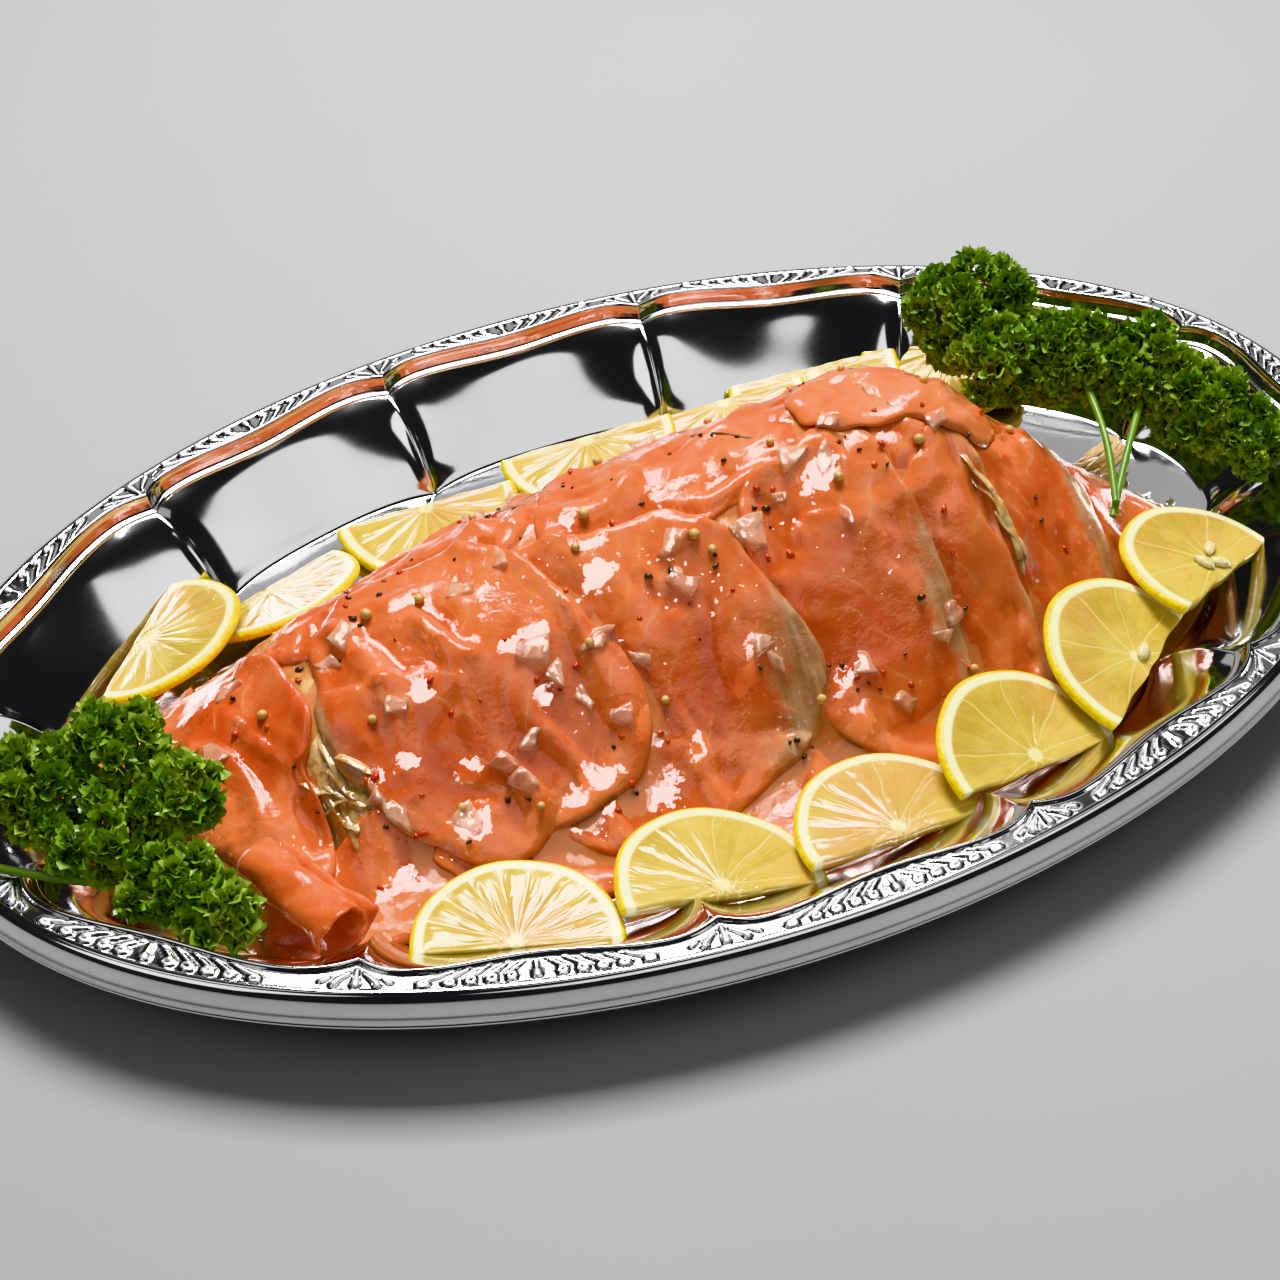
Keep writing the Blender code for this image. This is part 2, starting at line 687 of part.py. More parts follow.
def fuse(item, extras):
    """Join closed objects to one body by a Boolean union and remove them."""
    group = bpy.data.collections.new(item.name + "_extras")
    for extra in extras:
        group.objects.link(extra)
    union = item.modifiers.new("fuse", "BOOLEAN")
    union.operation = "UNION"
    union.operand_type = "COLLECTION"
    union.collection = group
    view = bpy.context.evaluated_depsgraph_get()
    mesh = bpy.data.meshes.new_from_object(item.evaluated_get(view), depsgraph=view)
    item.modifiers.clear()
    item.data = mesh
    for extra in extras:
        bpy.data.objects.remove(extra, do_unlink=True)
    bpy.data.collections.remove(group)


def drop_scraps(item):
    """Keep only the largest connected body of a fused object."""
    work = bmesh.new()
    work.from_mesh(item.data)
    left = set(work.verts)
    bodies = []
    while left:
        body = set()
        queue = [left.pop()]
        while queue:
            vert = queue.pop()
            body.add(vert)
            found = [edge.other_vert(vert) for edge in vert.link_edges]
            queue += [v for v in found if v in left]
            left.difference_update(found)
        bodies.append(body)
    bodies.sort(key=len)
    scraps = [vert for body in bodies[:-1] for vert in body]
    bmesh.ops.delete(work, geom=scraps, context="VERTS")
    work.to_mesh(item.data)
    work.free()


def make_parsley(name, lobes, stems, support, seed):
    """A bunch of curly parsley heads on their stems, kept clear of what it lies on."""
    draw = random.Random(seed)
    core = lobe_mesh(name, lobes[0], seed)
    extras = [lobe_mesh("lobe", lobe, seed + k) for k, lobe in enumerate(lobes[1:], start=1)]
    for lobe in lobes:
        for _ in range(LEAVES_PER_LOBE):
            points, faces = leaf_points(draw, lobe)
            extras.append(solid("leaf", points, faces, "parsley"))
    for path in stems:
        points, faces = tube_points(path, STEM_RADIUS, 6)
        extras.append(solid("stem", points, faces, "parsley"))
    fuse(core, extras)
    drop_scraps(core)
    lift_clear(core, support)


def lift_clear(item, heights):
    """Raise an object until it is clear of the height map."""
    points = np.array([v.co for v in item.data.vertices]) / MM
    lift = float(np.max(heights.at(points, heights.widened()) - points[:, 2])) + AIR
    item.data.transform(Matrix.Translation((0.0, 0.0, max(lift, 0.0) * MM)))


def topping_mesh(kind, spot, number):
    """A diced onion piece or a pale peppercorn, half sunk in what it lies on."""
    work = bmesh.new()
    if kind == "onion":
        bmesh.ops.create_cube(work, size=2.0)
    else:
        bmesh.ops.create_icosphere(work, subdivisions=1, radius=1.0)
    turn = Matrix.Rotation(number, 3, "Z") @ Matrix.Rotation(0.3, 3, "X")
    for vert in work.verts:
        size = Vector([c * s for c, s in zip(vert.co, TOPPING_SIZE[kind])])
        vert.co = (turn @ size + Vector(spot)) * MM
    mesh = bpy.data.meshes.new(kind)
    work.to_mesh(mesh)
    work.free()
    item = bpy.data.objects.new(kind, mesh)
    bpy.context.scene.collection.objects.link(item)
    return item


def add_shreds(bed, salmon):
    """Fuse the shreds that show to the bed, clear of the salmon over it."""
    ground = surface_of(bed)
    cover = surface_of(*salmon)
    landed = []
    for x, y, heading in SHREDS:
        turn = math.radians(heading)
        path = []
        for along, aside in ((-0.5, 0.0), (0.0, SHRED_BEND), (0.5, 0.0)):
            px = x + SHRED_LENGTH * (along * math.cos(turn) - aside * math.sin(turn))
            py = y + SHRED_LENGTH * (along * math.sin(turn) + aside * math.cos(turn))
            path.append(Vector((px, py, height_of(ground, px, py) + 0.5 * SHRED_RADIUS)))
        clear = min(cover.find_nearest(spot)[3] for spot in path)
        if clear > SHRED_RADIUS * 1.5 + AIR and min(spot.z for spot in path) > 3 * SHEET:
            points, faces = tube_points(path, SHRED_RADIUS, 4)
            landed.append(solid("shred", points, faces, "onion"))
    fuse(bed, landed)


def add_toppings(salmon):
    """Fuse each topping to the slice it lies on, where it is clear of the others."""
    trees = [surface_of(item) for item in salmon]
    landed = {}
    for number, (kind, x, y) in enumerate(TOPPINGS):
        heights = [height_of(tree, x, y, missing=-1.0) for tree in trees]
        owner = int(np.argmax(heights))
        spot = Vector((x, y, heights[owner] + TOPPING_SUNK * TOPPING_SIZE[kind][2]))
        reach = 1.25 * max(TOPPING_SIZE[kind]) + AIR
        others = [tree.find_nearest(spot)[3] for k, tree in enumerate(trees) if k != owner]
        if heights[owner] > 0.0 and min(others) > reach:
            landed.setdefault(owner, []).append(topping_mesh(kind, spot, number))
    for owner, extras in landed.items():
        fuse(salmon[owner], extras)


def main():
    """Lay the whole dish from the tray up."""
    remove_startup_objects()
    tray = make_tray()
    bpy.context.view_layer.update()
    bed, salmon = make_mound(tray)
    bpy.context.view_layer.update()
    heights = HeightMap([tray, bed] + salmon)
    roll = make_roll()
    ends = np.array([v.co for v in roll.data.vertices]) / MM
    spin = np.vstack([ends * (share, 1.0, 1.0) for share in (1.0, 0.66, 0.33, 0.0)])
    settle(roll, ROLL_CENTRE, ROLL_HEADING, spin, heights)
    bpy.context.view_layer.update()
    heights.add(roll)
    make_lemons(heights)
    make_parsley("parsley_right", PARSLEY_RIGHT, STEMS_RIGHT, heights, 3)
    make_parsley("parsley_left", PARSLEY_LEFT, STEMS_LEFT, heights, 11)
    add_shreds(bed, salmon)
    add_toppings(salmon)


main()
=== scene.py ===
import math
import random

import bmesh
import bpy
import numpy as np
from mathutils import Matrix, Vector
from mathutils.bvhtree import BVHTree


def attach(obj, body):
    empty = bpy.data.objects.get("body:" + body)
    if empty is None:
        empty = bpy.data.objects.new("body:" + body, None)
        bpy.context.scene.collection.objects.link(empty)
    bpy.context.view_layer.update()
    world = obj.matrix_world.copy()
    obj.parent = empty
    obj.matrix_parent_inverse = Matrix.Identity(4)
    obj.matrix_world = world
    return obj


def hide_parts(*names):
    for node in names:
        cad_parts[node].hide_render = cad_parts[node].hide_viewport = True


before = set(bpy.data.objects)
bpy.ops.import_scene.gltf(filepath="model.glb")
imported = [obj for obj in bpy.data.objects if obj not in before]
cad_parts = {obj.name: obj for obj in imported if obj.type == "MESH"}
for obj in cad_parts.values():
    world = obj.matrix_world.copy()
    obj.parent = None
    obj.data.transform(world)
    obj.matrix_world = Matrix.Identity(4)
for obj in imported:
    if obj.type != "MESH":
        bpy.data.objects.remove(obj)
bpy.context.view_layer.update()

MM = 0.001

# The photograph's camera: its place, then its right, up and backward directions
CAMERA_SPOT = (-229.7, -524.3, 529.0)
CAMERA_RIGHT = (0.91276724, -0.40745948, -0.02885726)
CAMERA_UP = (0.29586251, 0.61075747, 0.73446626)
CAMERA_BACK = (-0.28164046, -0.67893452, 0.67803139)
CAMERA_LENS = 64.6875
SENSOR_WIDTH = 36.0
PICTURE_SIZE = 1280.0
FOCAL = CAMERA_LENS / SENSOR_WIDTH * PICTURE_SIZE
# Distances from the camera between which a pixel's line of sight is followed, and its steps
SIGHT_NEAR, SIGHT_FAR, SIGHT_STEP = 480.0, 1150.0, 0.5

# Tray
TRAY_HALF_LENGTH = 250.0
TRAY_HALF_WIDTH = 160.3
RIM_HEIGHT = 33.0
SHEET = 1.1
QUARTER_CUSPS = (17.0, 52.0, 77.75)
EDGE_LINE = 4.3
BAND_NARROW = 11.0
BAND_BOW = 3.4
BAND_POINT = 4.2
BAND_SHOULDER = 0.72
BAND_SUNK = 0.55
BAND_SHEET = 0.35
BEAD_WIDTH = 2.0
STEP_END = 3.8
FOOT_AT_PANEL = 45.0
FOOT_AT_CREASE = 48.0
# How steep the wall is on its way from its top at 0 to its foot at 1
WALL_STEEPNESS = ((0.0, 0.60), (0.10, 0.66), (0.25, 0.95), (0.35, 1.03), (0.75, 1.25),
                  (0.90, 1.6), (0.982, 1.45), (1.0, 0.05))
WALL_TOP = 5.4
WALL_BOW = 2.0
WALL_RIDGE = 5.0
BAND_STEPS_PER_PANEL = 150
BODY_STEPS_PER_PANEL = 72
# Profiles across the rim: distance in, from the edge line, the bead or the outline, and
# height over the rim
EDGE_PROFILE = ((-1.3, -0.58), (-0.7, -0.42), (-0.2, -0.36), (0.15, -0.39), (0.5, -0.49))
BEAD_PROFILE = (
    (-1.75, -0.35), (-1.5, 0.3), (-1.15, 0.85), (-0.75, 1.08), (-0.35, 1.0), (0.0, 0.6),
    (0.25, 0.0), (0.35, -0.7), (0.55, -1.5), (1.0, -2.5), (1.6, -3.7), (1.95, -4.45),
    (2.15, -4.62), (2.6, -4.65), (3.3, -4.68), (STEP_END, -4.95), (STEP_END + 0.2, -5.8),
)
TURNED_EDGE_PROFILE = (
    (0.9, -12.6), (0.35, -12.62), (0.0, -12.3), (-0.05, -11.8), (0.1, -11.3),
    (0.55, -11.0), (0.75, -10.4), (0.5, -9.9), (0.42, -9.6), (0.62, -9.3), (0.45, -9.0),
    (0.35, -7.5), (0.5, -5.5), (0.8, -3.9), (1.35, -2.5), (2.0, -1.4), (2.8, -0.7),
    (3.6, -0.45), (EDGE_LINE + 0.3, -0.8), (EDGE_LINE + 1.0, -1.0),
)
UNDER_BEAD_PROFILE = ((-2.0, -1.0), (-1.0, -0.6), (-0.2, -1.0), (0.9, -4.2), (2.2, -5.2))
# Scroll leaves of the band: place from the middle of a panel, size and sweep, and the half
# length of the panel that they are drawn for
SCROLLS = (
    (7.5, 0.90, 5.5), (13.5, 1.0, 6.5), (19.8, 1.0, 7.0), (26.2, 1.0, 7.0), (34.0, 1.1, 9.5),
)
SCROLL_HALF_PANEL = 54.0
SCROLL_LINE = 8.0
# The step's back is nearly upright, so its rows stand further out: how many, and how much
STEP_BACK_ROWS = 9
STEP_BACK_SCALE = 1.0012

# Salmon mound
MOUND_X = (-188.0, -165.0, -124.0, -84.0, -20.0, 40.0, 82.0, 110.0, 155.0, 190.0)
MOUND_TOP = (9.0, 28.0, 48.0, 60.0, 70.0, 77.0, 86.0, 64.0, 25.0, 4.0)
MOUND_RIDGE = (6.0, 4.0, 4.0, 6.0, 8.0, 6.0, 0.0, -8.0, -20.0, -30.0)
MOUND_FRONT = (-50.0, -78.0, -85.0, -80.0, -80.0, -87.0, -82.0, -70.0, -50.0, -38.0)
MOUND_BACK = (34.0, 40.0, 47.0, 55.0, 61.0, 62.0, 57.0, 49.0, 22.0, -14.0)
MOUND_ROUNDNESS = 1.05
LATTICE = 1.3
LATTICE_X = (-231.0, 231.0)
LATTICE_Y = (-126.0, 102.0)
SLICE_THICK = 2.2
# Height that one slice adds, and the gap that it keeps from what it lies on
LAYER = 3.1
LAYER_GAP = 0.3
# How far it may hang free between its supports, how far outside its outline that is worked
# out, and how often and over how many lattice steps it is drawn taut
SAG = 3.0
DRAPE_MARGIN = 12.0
DRAPE_PASSES = 5
DRAPE_BLUR = 2.8
# Its outline: how square its corners are, how it bends, and waves as (count, share, shift)
SLICE_CORNER = 2.7
SLICE_BEND = 0.16
SLICE_WAVES = ((3, 0.07, 1.9), (5, 0.04, 1.0), (9, 0.014, 2.3), (14, 0.010, 0.7))
# How much closer together its points stand towards its edges, from 0 to 1
EDGE_CROWDING = 0.86
# How far its edge stands up
HEM_RISE = 0.3

# Slices: name, centre x and y, length, width, heading, fold height, fold spacing, and the
# width of the fat margin, with a minus sign where it is on the other long side
SLICES = (
    ("back_left", -96.0, 26.0, 112.0, 62.0, 8.0, 1.4, 24.0, 0.0),
    ("back_right", 92.0, 20.0, 108.0, 66.0, -16.0, 1.4, 26.0, 0.0),
    ("back_mid", 0.0, 30.0, 122.0, 62.0, -2.0, 1.4, 26.0, 0.0),
    ("foot_right", 140.0, -52.0, 84.0, 36.0, 34.0, 1.2, 18.0, 0.0),
    ("foot_front_right", 56.0, -85.0, 104.0, 36.0, 6.0, 1.2, 20.0, 0.0),
    ("foot_front_left", -128.0, -76.0, 88.0, 36.0, 8.0, 1.4, 18.0, 0.0),
    ("foot_front_mid", -44.0, -82.0, 122.0, 38.0, -4.0, 1.4, 20.0, 0.0),
    ("tip_left", -181.0, 24.0, 62.0, 34.0, 62.0, 1.4, 14.0, 0.0),
    ("ridge_left", -64.0, 4.0, 106.0, 60.0, 14.0, 2.4, 22.0, 0.0),
    ("end_right", 150.0, -30.0, 64.0, 52.0, -70.0, 1.4, 18.0, 6.0),
    ("ridge_right", 66.0, -6.0, 92.0, 66.0, -12.0, 1.6, 24.0, 0.0),
    ("ridge_mid", 4.0, 2.0, 104.0, 56.0, 6.0, 2.4, 22.0, 0.0),
    ("drape_far_right", 114.0, -36.0, 88.0, 48.0, -78.0, 1.6, 20.0, 8.0),
    ("drape_right", 82.0, -56.0, 66.0, 42.0, -80.0, 1.4, 18.0, 8.0),
    ("drape_flap", 46.0, -50.0, 88.0, 56.0, -76.0, 1.6, 24.0, 11.5),
    ("drape_big", -30.0, -48.0, 82.0, 100.0, -86.0, 2.6, 30.0, 11.0),
    ("shoulder_left", -86.0, -34.0, 92.0, 84.0, -80.0, 3.4, 21.0, -4.0),
    ("end_left", -156.0, -22.0, 88.0, 48.0, -76.0, 2.2, 17.0, 0.0),
    ("peak", 78.0, 0.0, 66.0, 42.0, -14.0, 1.6, 20.0, 0.0),
)

# Hollows, or with a minus sign swellings, of the mound: spot, half length and width, heading
# and depth
HOLLOWS = (
    ((-138.0, -50.0), 15.0, 7.0, -72.0, 5.5),
    ((93.0, -42.0), 16.0, 4.5, -66.0, 4.0),
    ((-60.0, -62.0), 20.0, 10.0, 20.0, 3.5),
    ((-104.0, -20.0), 24.0, 9.0, 20.0, -3.0),
    ((-118.0, -42.0), 14.0, 6.0, -70.0, -2.5),
    ((12.0, -50.0), 26.0, 12.0, -60.0, -2.5),
    ((30.0, -82.0), 16.0, 6.0, 10.0, 1.5),
)

# Notches in a slice's edge: slice, direction and half width in radians, depth as a share
BITES = (("end_left", 0.80, 0.40, 0.46), ("drape_right", 1.75, 0.30, 0.16))

# Openings between the slices, where the strips below show
PITS = (
    ((-138.0, -51.0), 15.0, 6.0, -72.0, 4.5),
    ((94.0, -43.0), 15.0, 3.0, -66.0, 3.0),
)

# Bold fold edges, by the photograph's pixels from one end to the other: the side that is
# on the left going along stands higher. Then their height, and how far back they run out.
FOLDS_SEEN = (
    (((478, 585), (486, 620), (470, 655), (430, 674), (370, 690), (318, 694)), 3.6, 13.0),
    (((596, 596), (560, 606), (528, 606), (492, 622)), 2.4, 9.0),
    (((742, 500), (725, 512), (690, 520), (648, 512)), 2.2, 9.0),
    (((560, 836), (520, 824), (488, 838), (462, 868)), 1.4, 8.0),
    (((470, 800), (488, 770), (480, 730), (462, 700)), 1.8, 7.0),
    (((880, 520), (850, 500), (800, 520), (784, 548)), 1.8, 8.0),
    (((300, 842), (292, 810), (298, 770), (312, 750)), 2.6, 8.0),
    (((345, 872), (340, 838), (322, 800), (334, 764)), -2.4, 7.0),
    (((1030, 566), (1006, 520), (990, 470)), 1.6, 7.0),
    (((930, 452), (880, 432), (820, 440), (770, 452)), 1.8, 8.0),
)

# Wet swellings that shine, by the photograph's pixels, with their radius and height
SHINES_SEEN = (
    (346, 655, 9.0, 1.2), (402, 618, 9.0, 1.2), (421, 700, 8.0, 1.2), (222, 722, 16.0, 1.0),
    (600, 580, 9.0, 1.4), (592, 812, 15.0, 1.4), (515, 655, 7.0, 1.0), (590, 545, 9.0, 1.0),
    (650, 735, 9.0, 1.2), (690, 480, 14.0, 0.8), (758, 655, 7.0, 1.0), (745, 690, 7.0, 1.0),
    (665, 800, 11.0, 1.0), (470, 780, 6.0, 1.2), (435, 640, 8.0, 1.0),
    (376, 790, 7.0, 1.2), (820, 480, 10.0, 0.8), (905, 390, 9.0, 0.8), (535, 645, 8.0, 1.0),
    (405, 775, 7.0, 1.2), (475, 842, 9.0, 1.0), (560, 530, 7.0, 0.8), (545, 700, 6.0, 0.8),
    (840, 690, 7.0, 0.8), (1000, 450, 8.0, 0.8), (400, 895, 12.0, 0.6), (440, 880, 8.0, 0.6),
    (700, 760, 7.0, 0.6), (860, 740, 9.0, 0.6), (960, 420, 7.0, 0.6), (745, 420, 9.0, 0.6),
)

# Dressing: how wide and how deep the hollows are that it gathers in, then where it stands
# level: spot, radius and height
DRESSING_BLUR = 5.0
DRESSING_DEPTH = 1.7
POOLS = (((-116.0, -86.0), 17.0, 9.5),)

# Thin dark line of skin on the ridge, by the photograph's pixels, and its half width
SKIN_LINE_SEEN = ((690, 437), (715, 434), (745, 438), (774, 443))
SKIN_LINE_WIDE = 0.5

# Onion heap: its middle and half length along the tray, and how far inside the mound's
# sides it ends
BED_MIDDLE = -2.0
BED_HALF_LENGTH = 184.0
BED_INSET = 6.0

# Onion strips: a pixel of the photograph, spread along and across, heading, count, half width
SHRED_HEAPS = (
    (338, 798, 9.0, 7.0, -62.0, 9, 2.0), (1098, 462, 14.0, 10.0, 20.0, 24, 1.2),
    (1003, 520, 14.0, 2.2, -66.0, 5, 1.4),
)
# The open back of the heap: area for each strip, and where it starts behind the ridge
BACK_STRIP_AREA = 14.0
BACK_START = 12.0

# Rolled slice: place, heading and leans in degrees
ROLL_SPOT = (-153.0, -76.0, 26.3)
ROLL_TURN = (-70.0, 10.0, -2.0)
ROLL_LENGTH = 42.0
ROLL_RADIUS = 11.0
ROLL_TURNS = 1.2
ROLL_INNER = 0.48
ROLL_FLAT = 0.8
ROLL_NARROW = 0.9

# Lemon half slices: place, heading and leans, radius, and how far the cut is past the centre
LEMONS = (
    ((154.0, 88.0, 13.2), (158.0, -20.0, 6.0), 31.5, 2.0),
    ((104.0, 98.0, 10.6), (166.0, -12.0, 10.0), 32.5, 3.0),
    ((66.0, 98.0, 9.8), (172.0, -12.0, 8.0), 32.0, 1.0),
    ((12.0, 101.0, 7.9), (172.0, -8.0, 6.0), 33.0, 2.0),
    ((-54.0, 93.0, 5.4), (174.0, -4.0, 4.0), 33.0, 2.0),
    ((-118.0, 73.0, 5.2), (-158.0, 24.0, -2.0), 32.0, 4.0),
    ((-162.0, 62.0, 11.2), (-126.0, 18.0, -2.0), 32.0, 5.0),
    ((-101.0, -112.0, 12.2), (-20.0, 2.0, 0.0), 31.5, 2.0),
    ((-39.0, -119.0, 13.4), (-8.0, 0.0, 8.0), 32.5, 4.0),
    ((19.0, -121.0, 13.6), (0.0, 0.0, 2.0), 32.0, 4.0),
    ((70.0, -113.0, 15.0), (6.0, 18.0, 10.0), 32.5, 4.0),
    ((121.0, -90.0, 16.5), (36.0, 22.0, 2.0), 32.0, 6.0),
    ((168.0, -65.0, 17.9), (26.0, 8.0, 12.0), 32.0, 6.0),
)
LEMON_THICK = 4.2
LEMON_SEGMENTS = 9
# Loose pips: the lemon slice and the place on its face
PIPS = ((11, 3.0, -1.0), (12, -4.0, 2.0), (12, 5.0, 4.5), (12, 1.0, -2.0))
PIP_LENGTH = 8.0
PIP_RISE = 0.9

# Parsley lobes: centre and the three radii, then the paths of the stems
PARSLEY_RIGHT = (
    (147.0, 62.0, 50.0, 22.0, 21.0, 22.0),
    (142.0, 32.0, 50.0, 20.0, 17.0, 14.0),
    (166.0, 26.0, 48.0, 20.0, 18.0, 16.0),
    (188.0, 10.0, 44.0, 19.0, 18.0, 17.0),
    (198.0, -12.0, 40.0, 17.0, 18.0, 16.0),
    (206.0, -30.0, 36.0, 12.0, 13.0, 13.0),
)
PARSLEY_LEFT = (
    (-214.0, -20.0, 44.0, 19.0, 19.0, 13.0),
    (-190.0, -18.0, 47.0, 19.0, 17.0, 12.0),
    (-177.0, -40.0, 44.0, 13.0, 14.0, 10.0),
    (-202.0, -44.0, 40.0, 18.0, 16.0, 11.0),
    (-188.0, -64.0, 35.0, 16.0, 12.0, 9.0),
    (-178.0, -80.0, 33.0, 12.0, 12.0, 9.0),
)
STEMS_RIGHT = (
    ((146.0, -38.0, 30.0), (162.0, -20.0, 38.0), (184.0, 4.0, 44.0)),
    ((148.0, -36.0, 34.0), (158.0, -12.0, 42.0), (166.0, 18.0, 48.0)),
)
STEMS_LEFT = (
    ((-232.0, -38.0, 36.0), (-212.0, -52.0, 35.0), (-190.0, -64.0, 35.0)),
)
LEAF_SIZES_RIGHT = (3.8, 5.8)
LEAF_SIZES_LEFT = (4.0, 6.2)
# Each lobe has small round heads, whose radius is a share of its own, and a head of the
# plain radius has this many leaves
HEADS_PER_LOBE = 17
HEAD_SHARE = 0.36
HEAD_RADIUS = 6.3
LEAVES_PER_HEAD = 46
STEM_RADIUS = 1.3
STEM_SIDES = 10

# Crushed shapes: their least radius as a share, and how far they stretch in X and in Z
CRUSHED = {"crumb": (0.45, 1.25, 0.7), "flake": (0.55, 1.3, 0.45)}
# Angle in radians up to which a random turn is drawn
ABOUT_A_TURN = 6.3

# Studio lights in metres and watts: name, spot, size and power
LIGHTS = (
    ("high soft box", (0.25, 0.60, 1.46), (0.75, 0.58), 36.0),
    ("low card behind", (0.68, 1.45, 1.20), (1.60, 0.55), 1.3),
    ("front card", (0.457, -0.81, 1.11), (2.20, 0.62), 4.2),
    ("left fill", (-1.5, -0.5, 1.5), (1.2, 1.2), 5.0),
)
ROOM_COLOUR = (0.30, 0.30, 0.31, 1.0)
ROOM_STRENGTH = 0.16
FLOOR_HALF = 6.0
FLOOR_DROP = 0.0004


class Finish:
    """A Principled material with its pattern nodes."""

    def __init__(self, name, **values):
        self.made = bpy.data.materials.new(name)
        self.made.use_nodes = True
        self.nodes = self.made.node_tree.nodes
        self.links = self.made.node_tree.links
        self.shader = self.nodes["Principled BSDF"]
        for socket, value in values.items():
            self.shader.inputs[socket.replace("_", " ")].default_value = value

    def put(self, target, value):
        """Set a socket to a value, or link another node's output to it."""
        if isinstance(value, bpy.types.NodeSocket):
            self.links.new(value, target)
        else:
            target.default_value = value

    def node(self, kind, sockets=(), **settings):
        """A node with its settings, and its inputs by name or number."""
        made = self.nodes.new("ShaderNode" + kind)
        for key, value in settings.items():
            setattr(made, key, value)
        for key, value in dict(sockets).items():
            self.put(made.inputs[key], value)
        return made

    def math(self, operation, first, second=0.0, third=0.0):
        """The result of a sum on up to three values or sockets."""
        node = self.node("Math", {0: first, 1: second, 2: third}, operation=operation)
        return node.outputs[0]

    def ramp(self, value, low, high, smooth=True):
        """The value taken from 0 at low to 1 at high."""
        kind = "SMOOTHSTEP" if smooth else "LINEAR"
        node = self.node("MapRange", {"Value": value, "From Min": low, "From Max": high},
                         interpolation_type=kind)
        return node.outputs["Result"]

    def mix(self, share, first, second):
        """Two colours mixed by a share."""
        node = self.node("Mix", data_type="RGBA")
        self.put(node.inputs["Factor"], share)
        for socket, value in ((node.inputs[6], first), (node.inputs[7], second)):
            self.put(socket, (*value, 1.0) if isinstance(value, tuple) else value)
        return node.outputs[2]

    def noise(self, vector, scale, detail=2.0, rough=0.5, distortion=0.0):
        """Cloudy noise from 0 to 1."""
        node = self.node("TexNoise", {
            "Vector": vector, "Scale": scale, "Detail": detail,
            "Roughness": rough, "Distortion": distortion,
        })
        return node.outputs["Fac"]

    def place(self, size=(1.0, 1.0, 1.0)):
        """Object coordinates, stretched by a size in each direction."""
        coord = self.node("TexCoord").outputs["Object"]
        return self.node("Mapping", {"Vector": coord, "Scale": size}).outputs["Vector"]

    def attribute(self, name):
        """A value that the mesh carries at its points."""
        return self.node("Attribute", attribute_name=name).outputs["Fac"]

    def bump(self, height, strength, distance, under=None):
        """The normal of a fine relief, over another one if given."""
        sockets = {"Height": height, "Strength": strength, "Distance": distance}
        if under is not None:
            sockets["Normal"] = under
        return self.node("Bump", sockets).outputs["Normal"]

    def eased(self, relief, film, keep):
        """A normal that eases towards level under a film of oil, keeping a share of itself."""
        level = self.node("VectorMath", {0: relief, 1: (keep, keep, keep)}, operation="MULTIPLY")
        level = self.node("VectorMath", {0: level.outputs[0], 1: (0.0, 0.0, 1.0 - keep)},
                          operation="ADD")
        both = self.mix(film, relief, level.outputs[0])
        return self.node("VectorMath", {0: both}, operation="NORMALIZE").outputs[0]

    def set(self, socket, value):
        """Set an input of the shader to a value, or link a socket to it."""
        self.put(self.shader.inputs[socket], value)


def steel_finish():
    """Mirror-polished stainless steel, duller on the ornament and in its grounds, with painted
    shade in the grounds and a painted highlight on the leaves.
    """
    f = Finish("polished steel", Metallic=1.0)
    place = f.place()
    ornament = f.attribute("ground")
    ground = f.ramp(ornament, 0.0, 1.0, smooth=False)
    leaf = f.ramp(ornament, 0.0, -1.0, smooth=False)
    smear = f.noise(place, 18.0, 3.0)
    streak = f.noise(f.place((1.0, 6.0, 1.0)), 60.0, 4.0)
    rough = f.math("MULTIPLY_ADD", smear, 0.05, 0.05)
    rough = f.math("MULTIPLY_ADD", streak, 0.03, rough)
    rough = f.math("MULTIPLY_ADD", leaf, 0.32, rough)
    f.set("Roughness", f.math("MULTIPLY_ADD", ground, 0.24, rough))
    tone_and_painted_light = f.mix(f.ramp(smear, 0.3, 0.8), (0.66, 0.66, 0.67), (0.74, 0.74, 0.75))
    # Painted highlight: the raised leaves are lighter than the plain steel
    tone_and_painted_light = f.mix(leaf, tone_and_painted_light, (0.88, 0.88, 0.88))
    # Painted shade: the grounds round the leaves are near black
    f.set("Base Color", f.mix(ground, tone_and_painted_light, (0.15, 0.146, 0.142)))
    wavy = f.noise(place, 24.0, 1.0)
    fine = f.bump(f.noise(place, 900.0, 2.0), 0.02, 0.0001)
    f.set("Normal", f.bump(wavy, 0.22, 0.0012, fine))
    return f.made


